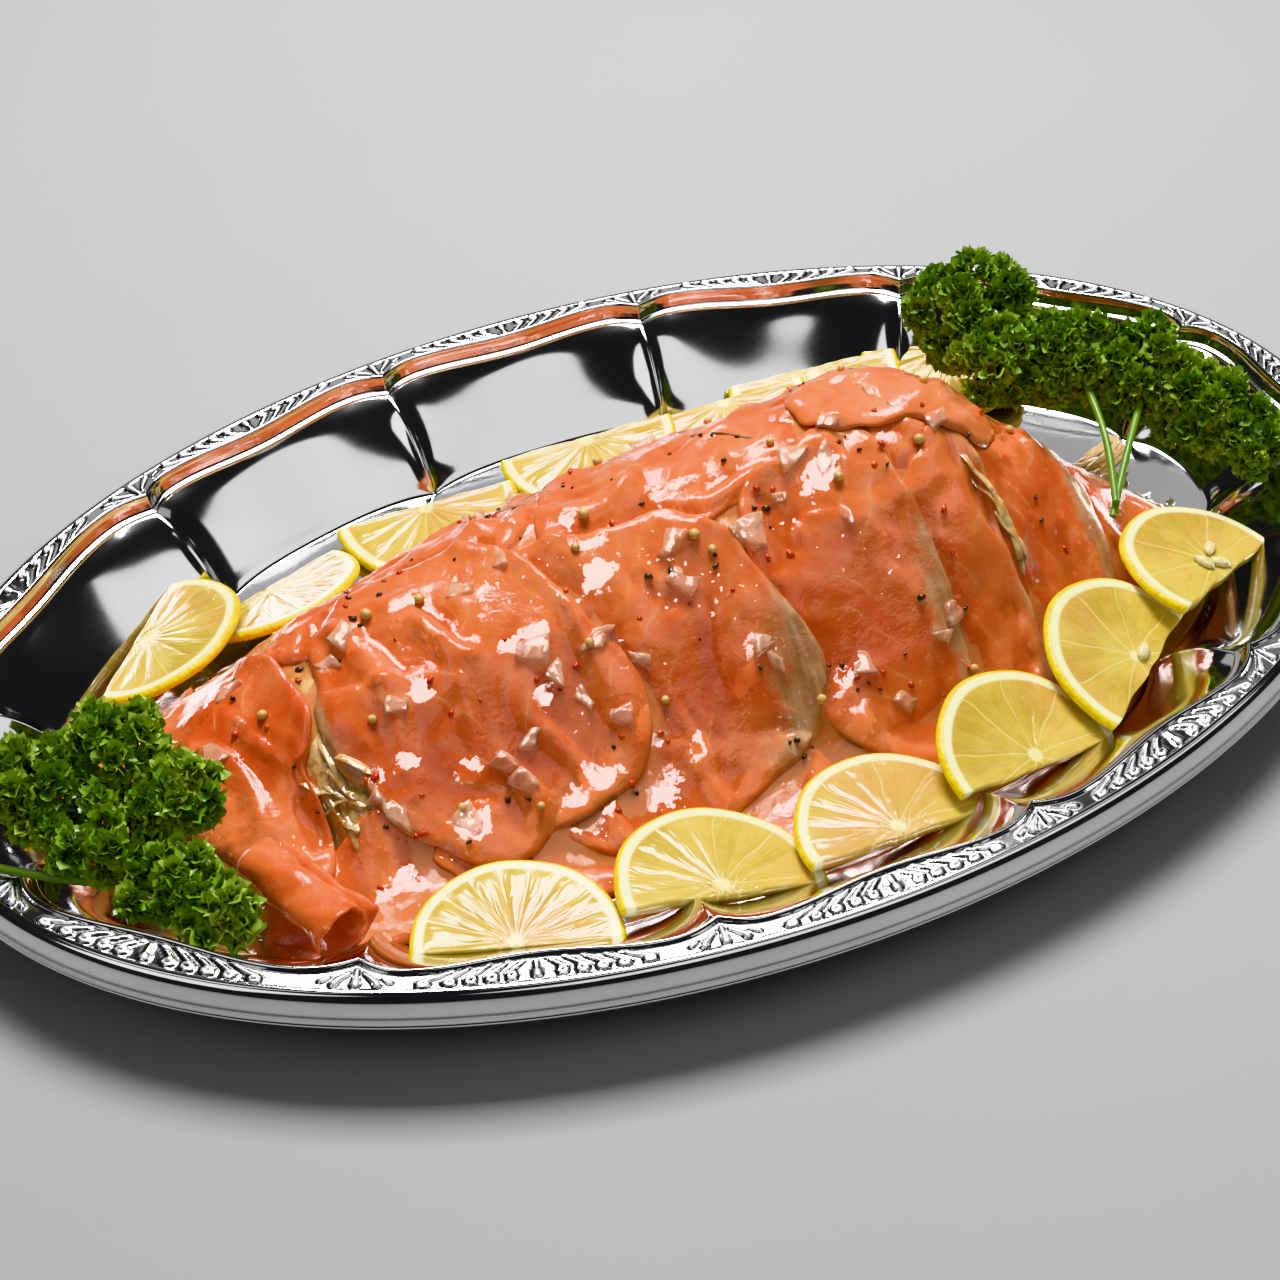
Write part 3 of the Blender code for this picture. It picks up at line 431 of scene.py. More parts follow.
def salmon_finish():
    """Wet smoked salmon: orange flesh, thin fat lines, beige margins and an oily coat, with
    painted light on the mound's top and painted shade in its hollows.
    """
    f = Finish(
        "smoked salmon", Subsurface_Weight=0.4, Subsurface_Scale=0.004,
        Coat_Weight=0.9, Coat_Roughness=0.025, Coat_IOR=1.45, IOR=1.45,
        Specular_IOR_Level=0.3,
    )
    f.set("Subsurface Radius", (1.0, 0.30, 0.12))
    place = f.place()
    grain = f.node("UVMap", uv_map="UVMap").outputs["UV"]
    parts = f.node("SeparateXYZ", {0: grain})
    along, across = parts.outputs[0], parts.outputs[1]
    cloud = f.noise(place, 30.0, 3.0, 0.55)
    mottle = f.noise(place, 95.0, 3.0, 0.6)
    deep = f.mix(f.ramp(cloud, 0.36, 0.66), (0.60, 0.082, 0.020), (0.84, 0.190, 0.064))
    pale = f.math("MULTIPLY", f.ramp(mottle, 0.48, 0.78), 0.35)
    flesh = f.mix(pale, deep, (0.88, 0.33, 0.16))
    # Painted light: lighter where the tone attribute is high, mostly on the mound's top and lowest
    # parts
    flesh = f.mix(f.math("MULTIPLY", f.attribute("tone_and_painted_light"), 0.6), flesh, (0.95, 0.325, 0.125))
    wander = f.math("MULTIPLY", f.math("SUBTRACT", f.noise(grain, 2.6, 2.0), 0.5), 0.34)
    bent = f.math("MULTIPLY", f.math("ABSOLUTE", across), 0.7)
    lines = f.math("ADD", f.math("ADD", along, bent), wander)
    wave = f.math("FRACT", f.math("MULTIPLY", lines, 10.5))
    near = f.math("ABSOLUTE", f.math("SUBTRACT", wave, 0.5))
    fade = f.ramp(f.noise(grain, 6.0, 3.0, 0.6), 0.45, 0.68)
    line = f.math("MULTIPLY", f.math("MULTIPLY", f.ramp(near, 0.09, 0.0), fade), 0.55)
    band = f.math("MULTIPLY", f.ramp(near, 0.34, 0.05), 0.10)
    flesh = f.mix(f.math("MAXIMUM", line, band), flesh, (0.95, 0.46, 0.22))
    uneven = f.math("MULTIPLY_ADD", f.math("SUBTRACT", mottle, 0.5), 1.1, f.attribute("fat"))
    fat = f.ramp(uneven, 0.30, 0.75)
    streak = f.noise(f.node("Mapping", {"Vector": grain, "Scale": (9.0, 36.0, 1.0)}).outputs[0],
                     1.0, 3.0)
    margin = f.mix(f.ramp(streak, 0.3, 0.7), (0.46, 0.25, 0.12), (0.64, 0.42, 0.23))
    # Painted shade: the flesh darkens where the wet attribute marks the mound's hollows, which it
    # also makes oilier
    flesh = f.mix(f.math("MULTIPLY", f.ramp(f.attribute("wet"), 0.05, 0.9), 0.45), flesh,
                  (0.42, 0.050, 0.009))
    veil = f.ramp(f.noise(place, 42.0, 4.0, 0.6, 0.6), 0.50, 0.74)
    flesh = f.mix(f.math("MULTIPLY", veil, 0.27), flesh, (0.93, 0.39, 0.18))
    flesh = f.mix(f.math("MULTIPLY", fat, 0.88), flesh, margin)
    f.set("Base Color", flesh)
    shine = f.attribute("shine")
    damp = f.noise(place, 58.0, 4.0, 0.62)
    island = f.noise(place, 170.0, 6.0, 0.68)
    film = f.ramp(f.math("MULTIPLY_ADD", shine, 0.55, island), 0.82, 0.88)
    sparkle = f.math("MULTIPLY", f.ramp(f.noise(place, 430.0, 2.0), 0.66, 0.69),
                     f.ramp(f.noise(place, 36.0, 2.0), 0.46, 0.58))
    film = f.math("MAXIMUM", film, sparkle)
    oily = f.ramp(f.math("MULTIPLY_ADD", f.attribute("wet"), 0.16, damp), 0.50, 0.60)
    oily = f.math("MAXIMUM", oily, film)
    f.set("Roughness", f.math("MULTIPLY_ADD", f.math("SUBTRACT", 1.0, oily), 0.17, 0.045))
    fine = f.noise(place, 1000.0, 3.0, 0.65)
    rough_skin = f.math("MULTIPLY", fine, f.math("MULTIPLY_ADD", oily, -0.85, 1.0))
    ripple = f.noise(place, 120.0, 4.0, 0.6)
    relief = f.bump(ripple, 0.42, 0.0013)
    relief = f.bump(rough_skin, 0.20, 0.0005, relief)
    relief = f.eased(relief, film, 0.34)
    f.set("Normal", relief)
    f.set("Coat Normal", relief)
    return f.made


def onion_finish(name, low, high, solid):
    """Translucent raw onion, moist with dressing."""
    f = Finish(
        name, Roughness=0.1, Subsurface_Weight=0.3, Subsurface_Scale=0.003,
        Coat_Weight=1.0, Coat_Roughness=0.03, Alpha=solid, IOR=1.45,
    )
    f.set("Subsurface Radius", (1.0, 0.7, 0.4))
    place = f.place()
    cloud = f.noise(place, 150.0, 2.0)
    f.set("Base Color", f.mix(f.ramp(cloud, 0.3, 0.7), low, high))
    film = f.ramp(f.noise(place, 210.0, 4.0, 0.6), 0.46, 0.54)
    relief = f.eased(f.bump(f.noise(place, 420.0, 3.0), 0.35, 0.0006), film, 0.34)
    f.set("Normal", relief)
    f.set("Coat Normal", relief)
    return f.made


def parsley_finish():
    """Fresh curly leaf: painted shade darkens the middle of each curl, and its frill is lighter,
    partly its own yellower tips and partly painted highlight.
    """
    f = Finish(
        "parsley leaf", Roughness=0.42, Subsurface_Weight=0.12, Subsurface_Scale=0.002,
        Coat_Weight=0.3, Coat_Roughness=0.16,
    )
    f.set("Subsurface Radius", (0.4, 1.0, 0.15))
    place = f.place()
    curl_shade_and_highlight = f.ramp(f.attribute("curl_shade_and_highlight"), 0.25, 1.05)
    cloud = f.noise(place, 70.0, 2.0)
    # Painted shade: near-black green in the middle of each curl
    low = f.mix(cloud, (0.010, 0.034, 0.002), (0.032, 0.082, 0.005))
    high = f.mix(f.ramp(cloud, 0.3, 0.7), (0.15, 0.32, 0.020), (0.40, 0.56, 0.085))
    f.set("Base Color", f.mix(curl_shade_and_highlight, low, high))
    f.set("Normal", f.bump(f.noise(place, 900.0, 2.0), 0.3, 0.0003))
    return f.made


def stem_finish():
    """Smooth green stalk with paler patches."""
    f = Finish("parsley stem", Roughness=0.35, Subsurface_Weight=0.2, Subsurface_Scale=0.002)
    f.set("Subsurface Radius", (0.5, 1.0, 0.2))
    cloud = f.noise(f.place((1.0, 1.0, 3.0)), 70.0, 2.0)
    f.set("Base Color", f.mix(cloud, (0.07, 0.20, 0.012), (0.24, 0.40, 0.05)))
    return f.made


def lemon_finish():
    """Lemon slice: dimpled rind, white pith, and wet pulp cells between membranes."""
    f = Finish(
        "lemon slice", Subsurface_Weight=0.35, Subsurface_Scale=0.004,
        Coat_Weight=0.5, Coat_Roughness=0.05, Coat_IOR=1.36,
    )
    f.set("Subsurface Radius", (1.0, 0.8, 0.15))
    place = f.place()
    flat = f.node("UVMap", uv_map="UVMap").outputs["UV"]
    parts = f.node("SeparateXYZ", {0: flat})
    x, y = parts.outputs[0], parts.outputs[1]
    out = f.node("VectorMath", {0: flat}, operation="LENGTH").outputs["Value"]
    turn = f.math("DIVIDE", f.math("ARCTAN2", y, x), 2 * math.pi)
    uneven = f.math("MULTIPLY", f.math("SUBTRACT", f.noise(flat, 1.3, 1.0), 0.5), 0.09)
    segment = f.math("MULTIPLY", f.math("ADD", turn, uneven), float(LEMON_SEGMENTS))
    side = f.math("ABSOLUTE", f.math("SUBTRACT", f.math("FRACT", segment), 0.5))
    side = f.math("SUBTRACT", 0.5, side)
    reach = f.math("MULTIPLY", f.math("MULTIPLY", side, out), 22.0)
    wall = f.ramp(reach, 0.40, 0.08)
    core = f.ramp(out, 0.10, 0.05)
    cell_map = f.node("CombineXYZ", {0: f.math("MULTIPLY", segment, 8.0),
                                     1: f.math("MULTIPLY", out, 3.2)}).outputs[0]
    cells = f.node("TexVoronoi", {"Vector": cell_map, "Scale": 1.0, "Randomness": 0.95},
                   feature="DISTANCE_TO_EDGE").outputs["Distance"]
    skin = f.ramp(cells, 0.10, 0.0)
    cloud = f.noise(place, 60.0, 3.0)
    pulp = f.mix(f.ramp(cloud, 0.32, 0.68), (0.53, 0.375, 0.062), (0.67, 0.51, 0.125))
    pulp = f.mix(f.math("MULTIPLY", f.ramp(f.noise(place, 26.0, 2.0), 0.45, 0.7), 0.6), pulp,
                 (0.66, 0.36, 0.13))
    pulp = f.mix(f.math("MULTIPLY", skin, 0.07), pulp, (0.92, 0.80, 0.36))
    pale = f.math("MAXIMUM", f.math("MULTIPLY", wall, 0.42), core)
    inner = f.mix(pale, pulp, (0.94, 0.85, 0.42))
    pith_share = f.ramp(out, 0.845, 0.885)
    rind_share = f.ramp(out, 0.935, 0.968)
    inner = f.mix(pith_share, inner, (0.93, 0.90, 0.58))
    zest = f.mix(f.ramp(f.noise(place, 300.0, 1.0), 0.35, 0.7),
                 (0.84, 0.60, 0.006), (0.93, 0.76, 0.015))
    f.set("Base Color", f.mix(rind_share, inner, zest))
    f.set("Roughness", f.math("MULTIPLY_ADD", pith_share, 0.22, 0.14))
    dimple = f.node("TexVoronoi", {"Vector": place, "Scale": 620.0}).outputs["Distance"]
    relief = f.math("MULTIPLY", dimple, rind_share)
    open_pulp = f.math("SUBTRACT", 1.0, f.math("MAXIMUM", pith_share, wall))
    juicy = f.math("MULTIPLY", f.ramp(cells, 0.0, 0.4), open_pulp)
    first = f.bump(juicy, 0.16, 0.0005)
    f.set("Normal", f.bump(relief, 0.5, 0.0006, first))
    f.set("Coat Normal", f.bump(juicy, 0.18, 0.0005))
    return f.made


def seed_finish(name, low, high, rough, scale=600.0):
    """A small hard topping with an uneven colour."""
    f = Finish(name, Roughness=rough, Coat_Weight=0.6, Coat_Roughness=0.08)
    cloud = f.noise(f.place(), scale, 2.0)
    f.set("Base Color", f.mix(f.ramp(cloud, 0.3, 0.7), low, high))
    f.set("Normal", f.bump(f.noise(f.place(), 2.0 * scale, 2.0), 0.3, 0.0003))
    return f.made


def dressing_finish():
    """Oily dressing, tinted by the fish that it lies on."""
    f = Finish(
        "dressing", Roughness=0.04, Coat_Weight=1.0, Coat_Roughness=0.02,
        Subsurface_Weight=0.3, Subsurface_Scale=0.004, Alpha=0.52, IOR=1.4,
    )
    f.set("Subsurface Radius", (1.0, 0.4, 0.15))
    cloud = f.noise(f.place(), 60.0, 3.0)
    f.set("Base Color", f.mix(cloud, (0.95, 0.32, 0.115), (0.98, 0.47, 0.21)))
    f.set("Normal", f.bump(f.noise(f.place(), 90.0, 3.0), 0.35, 0.0016))
    return f.made


def floor_finish():
    """Plain pale matt floor."""
    f = Finish("pale floor", Roughness=0.75)
    cloud = f.noise(f.place(), 3.0, 2.0)
    f.set("Base Color", f.mix(cloud, (0.38, 0.38, 0.38), (0.41, 0.41, 0.41)))
    return f.made


def face_outward(mesh, merged=False):
    """Turn all faces outward, after merging the points that coincide where that is asked."""
    work = bmesh.new()
    work.from_mesh(mesh)
    if merged:
        bmesh.ops.remove_doubles(work, verts=work.verts, dist=1e-6)
    bmesh.ops.recalc_face_normals(work, faces=work.faces)
    if work.calc_volume(signed=True) < 0.0:
        bmesh.ops.reverse_faces(work, faces=work.faces)
    work.to_mesh(mesh)
    work.free()


def mesh_piece(name, points, faces, finish, uv=None, values=(), outward=True):
    """A smooth mesh object from points in millimetres and lists of face index rows."""
    mesh = bpy.data.meshes.new(name)
    points = np.asarray(points, dtype=float)
    rows = [np.asarray(block, dtype=np.int32) for block in faces if len(block)]
    index = np.concatenate([block.ravel() for block in rows])
    sizes = np.concatenate([np.full(len(block), block.shape[1]) for block in rows])
    mesh.vertices.add(len(points))
    mesh.vertices.foreach_set("co", (points * MM).ravel())
    mesh.loops.add(len(index))
    mesh.loops.foreach_set("vertex_index", index)
    mesh.polygons.add(len(sizes))
    mesh.polygons.foreach_set("loop_start", np.concatenate(([0], np.cumsum(sizes)[:-1])))
    mesh.update(calc_edges=True)
    mesh.validate()
    if uv is not None:
        layer = mesh.uv_layers.new(name="UVMap")
        corner = np.zeros(len(mesh.loops), dtype=np.int32)
        mesh.loops.foreach_get("vertex_index", corner)
        layer.data.foreach_set("uv", np.asarray(uv, dtype=float)[corner].ravel())
    for key, row in dict(values).items():
        item = mesh.attributes.new(key, "FLOAT", "POINT")
        item.data.foreach_set("value", np.asarray(row, dtype=float))
    if outward:
        face_outward(mesh)
    mesh.shade_smooth()
    piece = bpy.data.objects.new(name, mesh)
    piece.data.materials.append(finish)
    bpy.context.scene.collection.objects.link(piece)
    return piece


def dress(piece, slot, *nodes):
    """Ride on the dish's one body and stand for the nodes; the slot is not used."""
    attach(piece, "root")
    if nodes:
        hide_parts(*nodes)


def grid_faces(rows, columns, start=0, wrap=True):
    """Quads between rings of a grid, closed round its columns where wrap is set."""
    i, j = np.meshgrid(np.arange(rows - 1), np.arange(columns if wrap else columns - 1),
                       indexing="ij")
    after = (j + 1) % columns
    quads = np.stack([i * columns + j, i * columns + after,
                      (i + 1) * columns + after, (i + 1) * columns + j], axis=-1)
    return quads.reshape(-1, 4) + start


def sheet_points(x, y, *heights):
    """Points of a sheet's surfaces, one after another, at the same places in plan."""
    return np.concatenate([np.stack([x, y, z], axis=-1).reshape(-1, 3) for z in heights])


def sheet_faces(rows, columns):
    """Faces of a closed sheet of two grids: the upper, the lower, and the wall round them."""
    count = rows * columns
    upper = grid_faces(rows, columns, wrap=False)
    ring = np.concatenate([
        np.arange(columns), np.arange(2 * columns - 1, count, columns),
        np.arange(count - 2, count - columns - 1, -1),
        np.arange(count - 2 * columns, 0, -columns),
    ])
    after = np.roll(ring, -1)
    wall = np.stack([ring, ring + count, after + count, after], axis=-1)
    return [upper, upper[:, ::-1] + count, wall]


def turned(spot, turn):
    """Rotation and place used by what was laid down: heading, then leans about X and Y."""
    heading, tilt, roll = (math.radians(a) for a in turn)
    matrix = Matrix.Rotation(heading, 3, "Z")
    matrix = matrix @ Matrix.Rotation(tilt, 3, "X") @ Matrix.Rotation(roll, 3, "Y")
    return np.array(matrix), np.array(spot)


def smoothstep(value):
    """The value eased from 0 to 1."""
    value = np.clip(value, 0.0, 1.0)
    return value * value * (3.0 - 2.0 * value)


def panel_sections(steps):
    """Ellipse angle, place in its panel and panel number for sections round the tray."""
    cusps = sorted(
        side + sign * cusp
        for side, sign in ((0.0, 1), (180.0, -1), (180.0, 1), (360.0, -1))
        for cusp in QUARTER_CUSPS
    )
    even = np.linspace(-1.0, 1.0, steps, endpoint=False)
    s = 0.5 * even + 0.5 * np.sin(np.pi / 2 * even)
    angle, panel = [], []
    for number, (first, second) in enumerate(zip(cusps, cusps[1:] + [cusps[0] + 360.0])):
        angle.append(np.radians((first + second) / 2 + s * (second - first) / 2))
        panel.append(np.full(steps, number))
    return np.concatenate(angle), np.tile(s, len(cusps)), np.concatenate(panel)


def ellipse_points(angle, inward):
    """Points at a distance inside the tray's outline."""
    x = TRAY_HALF_LENGTH * np.cos(angle)
    y = TRAY_HALF_WIDTH * np.sin(angle)
    nx = x / TRAY_HALF_LENGTH ** 2
    ny = y / TRAY_HALF_WIDTH ** 2
    size = np.hypot(nx, ny)
    return x - nx / size * inward, y - ny / size * inward


def band_depth(s):
    """Distance from the edge to the bead, a bracket shape from cusp to cusp."""
    reach = np.abs(s)
    bow = BAND_BOW * np.cos(np.pi / 2 * np.minimum(reach / BAND_SHOULDER, 1.0)) ** 2
    point = np.maximum(reach - BAND_SHOULDER, 0.0) / (1.0 - BAND_SHOULDER)
    return BAND_NARROW + bow + BAND_POINT * point ** 2


def field_depth(s):
    """Width of the band's sunk field, from the edge line to the bead."""
    return band_depth(s) - BEAD_WIDTH - EDGE_LINE


def leaf_paths():
    """The band's scroll leaves: anchor, and discs (along in mm, across as a share, size, rise)."""
    leaves = []
    for side in (-1.0, 1.0):
        for head, size, sweep in SCROLLS:
            discs = []
            for k in range(10):
                turn = math.radians(-150 + 30 * k)
                discs.append((side * (head + 1.25 * size * math.sin(turn)),
                              0.31 - 0.17 * size * math.cos(turn), 0.74 * size, 0.9))
            for k in range(1, 12):
                share = k / 11
                along = head + 1.25 - (sweep * share ** 1.35)
                deep = 0.34 + 0.60 * share
                width = (1.0 - 0.55 * share) * 1.05 * size
                discs.append((side * along, deep, width, 1.0 - 0.35 * share))
            leaves.append(("middle", discs))
        petal = []
        for k in range(9):
            share = k / 8
            petal.append((side * (6.4 - 4.2 * share ** 1.5), 0.30 + 0.42 * share,
                          1.35 * (1.0 - 0.5 * share), 1.0 - 0.3 * share))
        leaves.append(("cusp", petal))
        leaves.append(("cusp", [(side * (10.4 - 2.4 * k / 5), 0.46 + 0.16 * k / 5,
                                 0.8 - 0.07 * k, 0.7) for k in range(6)]))
    leaves.append(("middle", [(0.0, 0.24 + 0.062 * k, 1.25 - 0.07 * k, 1.0 - 0.03 * k)
                              for k in range(11)]))
    leaves.append(("cusp", [(0.0, 0.22 + 0.075 * k, 1.5 - 0.09 * k, 1.05 - 0.04 * k)
                            for k in range(10)]))
    return leaves


def band_relief(angle, s, panel, rows):
    """Height of the band's leaf ornament at each section and row, and a mark for its grounds:
    painted shade round the leaves, negative for a painted highlight on them.
    """
    x, y = ellipse_points(angle, SCROLL_LINE)
    gap = np.hypot(np.roll(x, -1) - x, np.roll(y, -1) - y)
    run = np.concatenate(([0.0], np.cumsum(gap)[:-1]))
    total = gap.sum()
    flat = field_depth(s)
    across = rows[:, None] * flat[None, :]
    relief = np.zeros_like(across)
    ground = np.zeros_like(across)
    steps = BAND_STEPS_PER_PANEL
    leaves = leaf_paths()
    for number in range(panel.max() + 1):
        starts = {"cusp": run[number * steps], "middle": run[number * steps + steps // 2]}
        depths = {"cusp": float(flat[number * steps]) - 1.0,
                  "middle": float(flat[number * steps + steps // 2])}
        scale = (starts["middle"] - starts["cusp"]) / SCROLL_HALF_PANEL
        for anchor, discs in leaves:
            for along, share, radius, rise in discs:
                place = starts[anchor] + scale * along
                away = np.abs((run - place + total / 2) % total - total / 2)
                near = np.nonzero(away < radius + 1.6)[0]
                if not len(near):
                    continue
                deep = share * np.minimum(depths[anchor], flat[near] + 0.3)
                gone = np.sqrt(away[near][None, :] ** 2 + (across[:, near] - deep) ** 2)
                bump = 1.15 * rise * np.sqrt(np.clip(1.0 - (gone / radius) ** 2, 0.0, 1.0))
                relief[:, near] = np.maximum(relief[:, near], bump)
                # Painted shade in the ground round each leaf
                dark = np.clip(1.0 - (gone - radius) / 1.5, 0.0, 1.0)
                ground[:, near] = np.maximum(ground[:, near], dark)
    # The painted shade fades on the leaves and turns negative there, for their painted highlight
    ground = ground * np.clip(1.0 - relief / 0.45, 0.0, 1.0) - np.clip(relief / 0.7, 0.0, 1.0)
    return relief, ground


def level_rows(base, profile, s):
    """Rows of a profile that starts at a distance in and stays level round the tray."""
    return [(base + inward + 0.0 * s, height + 0.0 * s) for inward, height in profile]


def strip_points(angle, rows):
    """Points of profile rows given as (distance in, height) for every section."""
    points = []
    for inward, height in rows:
        x, y = ellipse_points(angle, inward)
        points.append(np.stack([x, y, RIM_HEIGHT + height + 0.0 * x], axis=-1))
    return np.array(points)


def make_band(finish):
    """The rim's upper face: edge line, embossed leaves, bead and step, as a closed strip."""
    angle, s, panel = panel_sections(BAND_STEPS_PER_PANEL)
    flat = field_depth(s)
    shares = np.linspace(0.07, 1.0, 17)
    relief, ground = band_relief(angle, s, panel, shares)
    leaves = slice(len(EDGE_PROFILE), len(EDGE_PROFILE) + len(shares))
    rows = level_rows(EDGE_LINE, EDGE_PROFILE, s)
    for share, raised in zip(shares, relief):
        rows.append((EDGE_LINE + share * flat, raised - BAND_SUNK))
    rows += level_rows(band_depth(s), BEAD_PROFILE, s)
    upper = strip_points(angle, rows)
    lower = upper.copy()
    lower[:, :, 2] -= BAND_SHEET
    lower[leaves, :, 2] = RIM_HEIGHT - BAND_SUNK - BAND_SHEET
    lower[-STEP_BACK_ROWS:, :, 0:2] *= STEP_BACK_SCALE
    keep = list(range(0, len(rows), 3)) + [len(rows) - 1]
    points = np.concatenate([upper, lower[keep][::-1]])
    # The steel's painted shade in the grounds and painted highlight on the leaves
    dark = np.zeros(points.shape[:2])
    dark[leaves] = ground
    count = len(angle)
    faces = grid_faces(len(points), count)
    close = grid_faces(2, count)
    last = (len(points) - 1) * count
    close = np.where(close >= count, close - count, close + last)
    piece = mesh_piece("tray_band", points.reshape(-1, 3), [faces, close], finish,
                       values={"ground": dark.ravel()})
    dress(piece, "steel", "tray")


def wall_point(s, start, foot, share):
    """A place on the tray's wall, from its top at 0 to its foot at 1: distance in, and height."""
    reach = np.abs(s)
    fine = np.linspace(0.0, 1.0, 401)
    run = np.cumsum(np.interp(fine, *zip(*WALL_STEEPNESS)))
    fall = float(np.interp(share, fine, (run - run[0]) / (run[-1] - run[0])))
    swell = math.sin(math.pi * min(share, 1.0) ** 0.8)
    bow = WALL_BOW * swell * (1.0 - reach ** 2)
    crease = 0.4 * np.exp(-(1.0 - reach) / 0.04) + 0.6 * np.exp(-(1.0 - reach) / 0.17)
    ridge = WALL_RIDGE * (0.2 + 0.8 * swell) * crease
    height = -WALL_TOP - (RIM_HEIGHT - SHEET - WALL_TOP) * fall
    return start + (foot - start) * share - bow + ridge, height


def make_tray(finish):
    """The tray's body: turned-down edge, panelled wall and flat floor, as one closed sheet."""
    angle, s, _ = panel_sections(BODY_STEPS_PER_PANEL)
    bead = band_depth(s)
    foot = FOOT_AT_PANEL + (FOOT_AT_CREASE - FOOT_AT_PANEL) * np.abs(s) ** 3
    start = bead + STEP_END - 0.5
    rows = level_rows(0.0, TURNED_EDGE_PROFILE, s) + level_rows(bead, UNDER_BEAD_PROFILE, s)
    for share in np.linspace(0.0, 1.0, 30) ** 1.15:
        rows.append(wall_point(s, start, foot, share))
    upper = strip_points(angle, rows)
    floor = []
    for share in (0.996, 0.985, 0.9, 0.7, 0.45, 0.2, 0.04):
        ring = upper[-1].copy()
        ring[:, 0:2] *= share
        floor.append(ring)
    upper = np.concatenate([upper, np.array(floor)])
    lower = upper.copy()
    slope = np.gradient(upper[:, :, 2], axis=0)
    spread = np.gradient(np.hypot(upper[:, :, 0], upper[:, :, 1]), axis=0)
    size = np.maximum(np.hypot(slope, spread), 1e-6)
    away = upper[:, :, 0:2].copy()
    away /= np.maximum(np.linalg.norm(away, axis=-1, keepdims=True), 1e-6)
    lower[:, :, 2] -= SHEET * np.abs(spread) / size
    lower[:, :, 0:2] += away * (SHEET * slope / size * np.sign(spread))[:, :, None]
    lower[:, :, 2] = np.clip(lower[:, :, 2], 0.0, None)
    lower[-len(floor) - 1:, :, 2] = 0.0
    keep = list(range(0, len(lower), 3)) + [len(lower) - 1]
    points = np.concatenate([upper[::-1], lower[keep]])
    count = len(angle)
    faces = grid_faces(len(points), count)
    centre = len(points) * count
    first = np.arange(count)
    last = (len(points) - 1) * count + first
    top_fan = np.stack([first, np.roll(first, -1), np.full(count, centre)], axis=-1)
    low_fan = np.stack([last, np.roll(last, -1), np.full(count, centre + 1)], axis=-1)
    flat = np.concatenate([points.reshape(-1, 3), [[0.0, 0.0, SHEET], [0.0, 0.0, 0.0]]])
    piece = mesh_piece("tray_body", flat, [faces, top_fan, low_fan], finish,
                       values={"ground": np.zeros(len(flat))})
    dress(piece, "steel", "tray")


# The lattice that the draped layers are worked out on
XS = np.arange(LATTICE_X[0], LATTICE_X[1] + 0.1, LATTICE)
YS = np.arange(LATTICE_Y[0], LATTICE_Y[1] + 0.1, LATTICE)
GRID_X, GRID_Y = np.meshgrid(XS, YS)


def blurred(field, radius):
    """The field smoothed by a bell curve of a radius in lattice steps."""
    reach = int(3 * radius) + 1
    bell = np.exp(-0.5 * (np.arange(-reach, reach + 1) / radius) ** 2)
    bell /= bell.sum()
    wide = np.pad(field, reach, mode="edge")
    rows = sum(w * wide[k:k + field.shape[0], :] for k, w in enumerate(bell))
    return sum(w * rows[:, k:k + field.shape[1]] for k, w in enumerate(bell))


def sampled(field, x, y):
    """The field read between its lattice points."""
    i = np.clip((x - XS[0]) / LATTICE, 0.0, len(XS) - 1.001)
    j = np.clip((y - YS[0]) / LATTICE, 0.0, len(YS) - 1.001)
    i0 = i.astype(int)
    j0 = j.astype(int)
    fi = i - i0
    fj = j - j0
    low = field[j0, i0] * (1 - fi) + field[j0, i0 + 1] * fi
    high = field[j0 + 1, i0] * (1 - fi) + field[j0 + 1, i0 + 1] * fi
    return low * (1 - fj) + high * fj


def height_at(field, x, y):
    """The field's height at one place."""
    return float(sampled(field, np.array([x]), np.array([y]))[0])


def node_heights(name):
    """Heights of a CAD node's upper surface on the lattice."""
    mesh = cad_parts[name].data
    points = [v.co / MM for v in mesh.vertices]
    faces = [list(poly.vertices) for poly in mesh.polygons]
    tree = BVHTree.FromPolygons(points, faces)
    down = Vector((0.0, 0.0, -1.0))
    field = np.zeros_like(GRID_X)
    for j, y in enumerate(YS):
        for i, x in enumerate(XS):
            hit = tree.ray_cast(Vector((x, y, 300.0)), down)[0]
            field[j, i] = hit.z if hit else 0.0
    return field


def cloudy(x, y, size, seed):
    """Soft uneven waves of about a size, between about -1.5 and 1.5."""
    draw = random.Random(seed)
    waves = 9
    total = 0.0
    for _ in range(waves):
        turn = draw.uniform(0.0, 2.0 * math.pi)
        pace = 2.0 * math.pi / (size * draw.uniform(0.7, 1.5))
        start = draw.uniform(0.0, 2.0 * math.pi)
        total = total + np.sin(pace * (x * math.cos(turn) + y * math.sin(turn)) + start)
    return total / math.sqrt(waves)


def dent(x, y, spot, length, width, heading, deep):
    """A soft hollow, or with a minus sign a swelling, at a spot."""
    turn = math.radians(heading)
    u = ((x - spot[0]) * math.cos(turn) + (y - spot[1]) * math.sin(turn)) / length
    v = (-(x - spot[0]) * math.sin(turn) + (y - spot[1]) * math.cos(turn)) / width
    return -deep * np.exp(-(u * u + v * v))


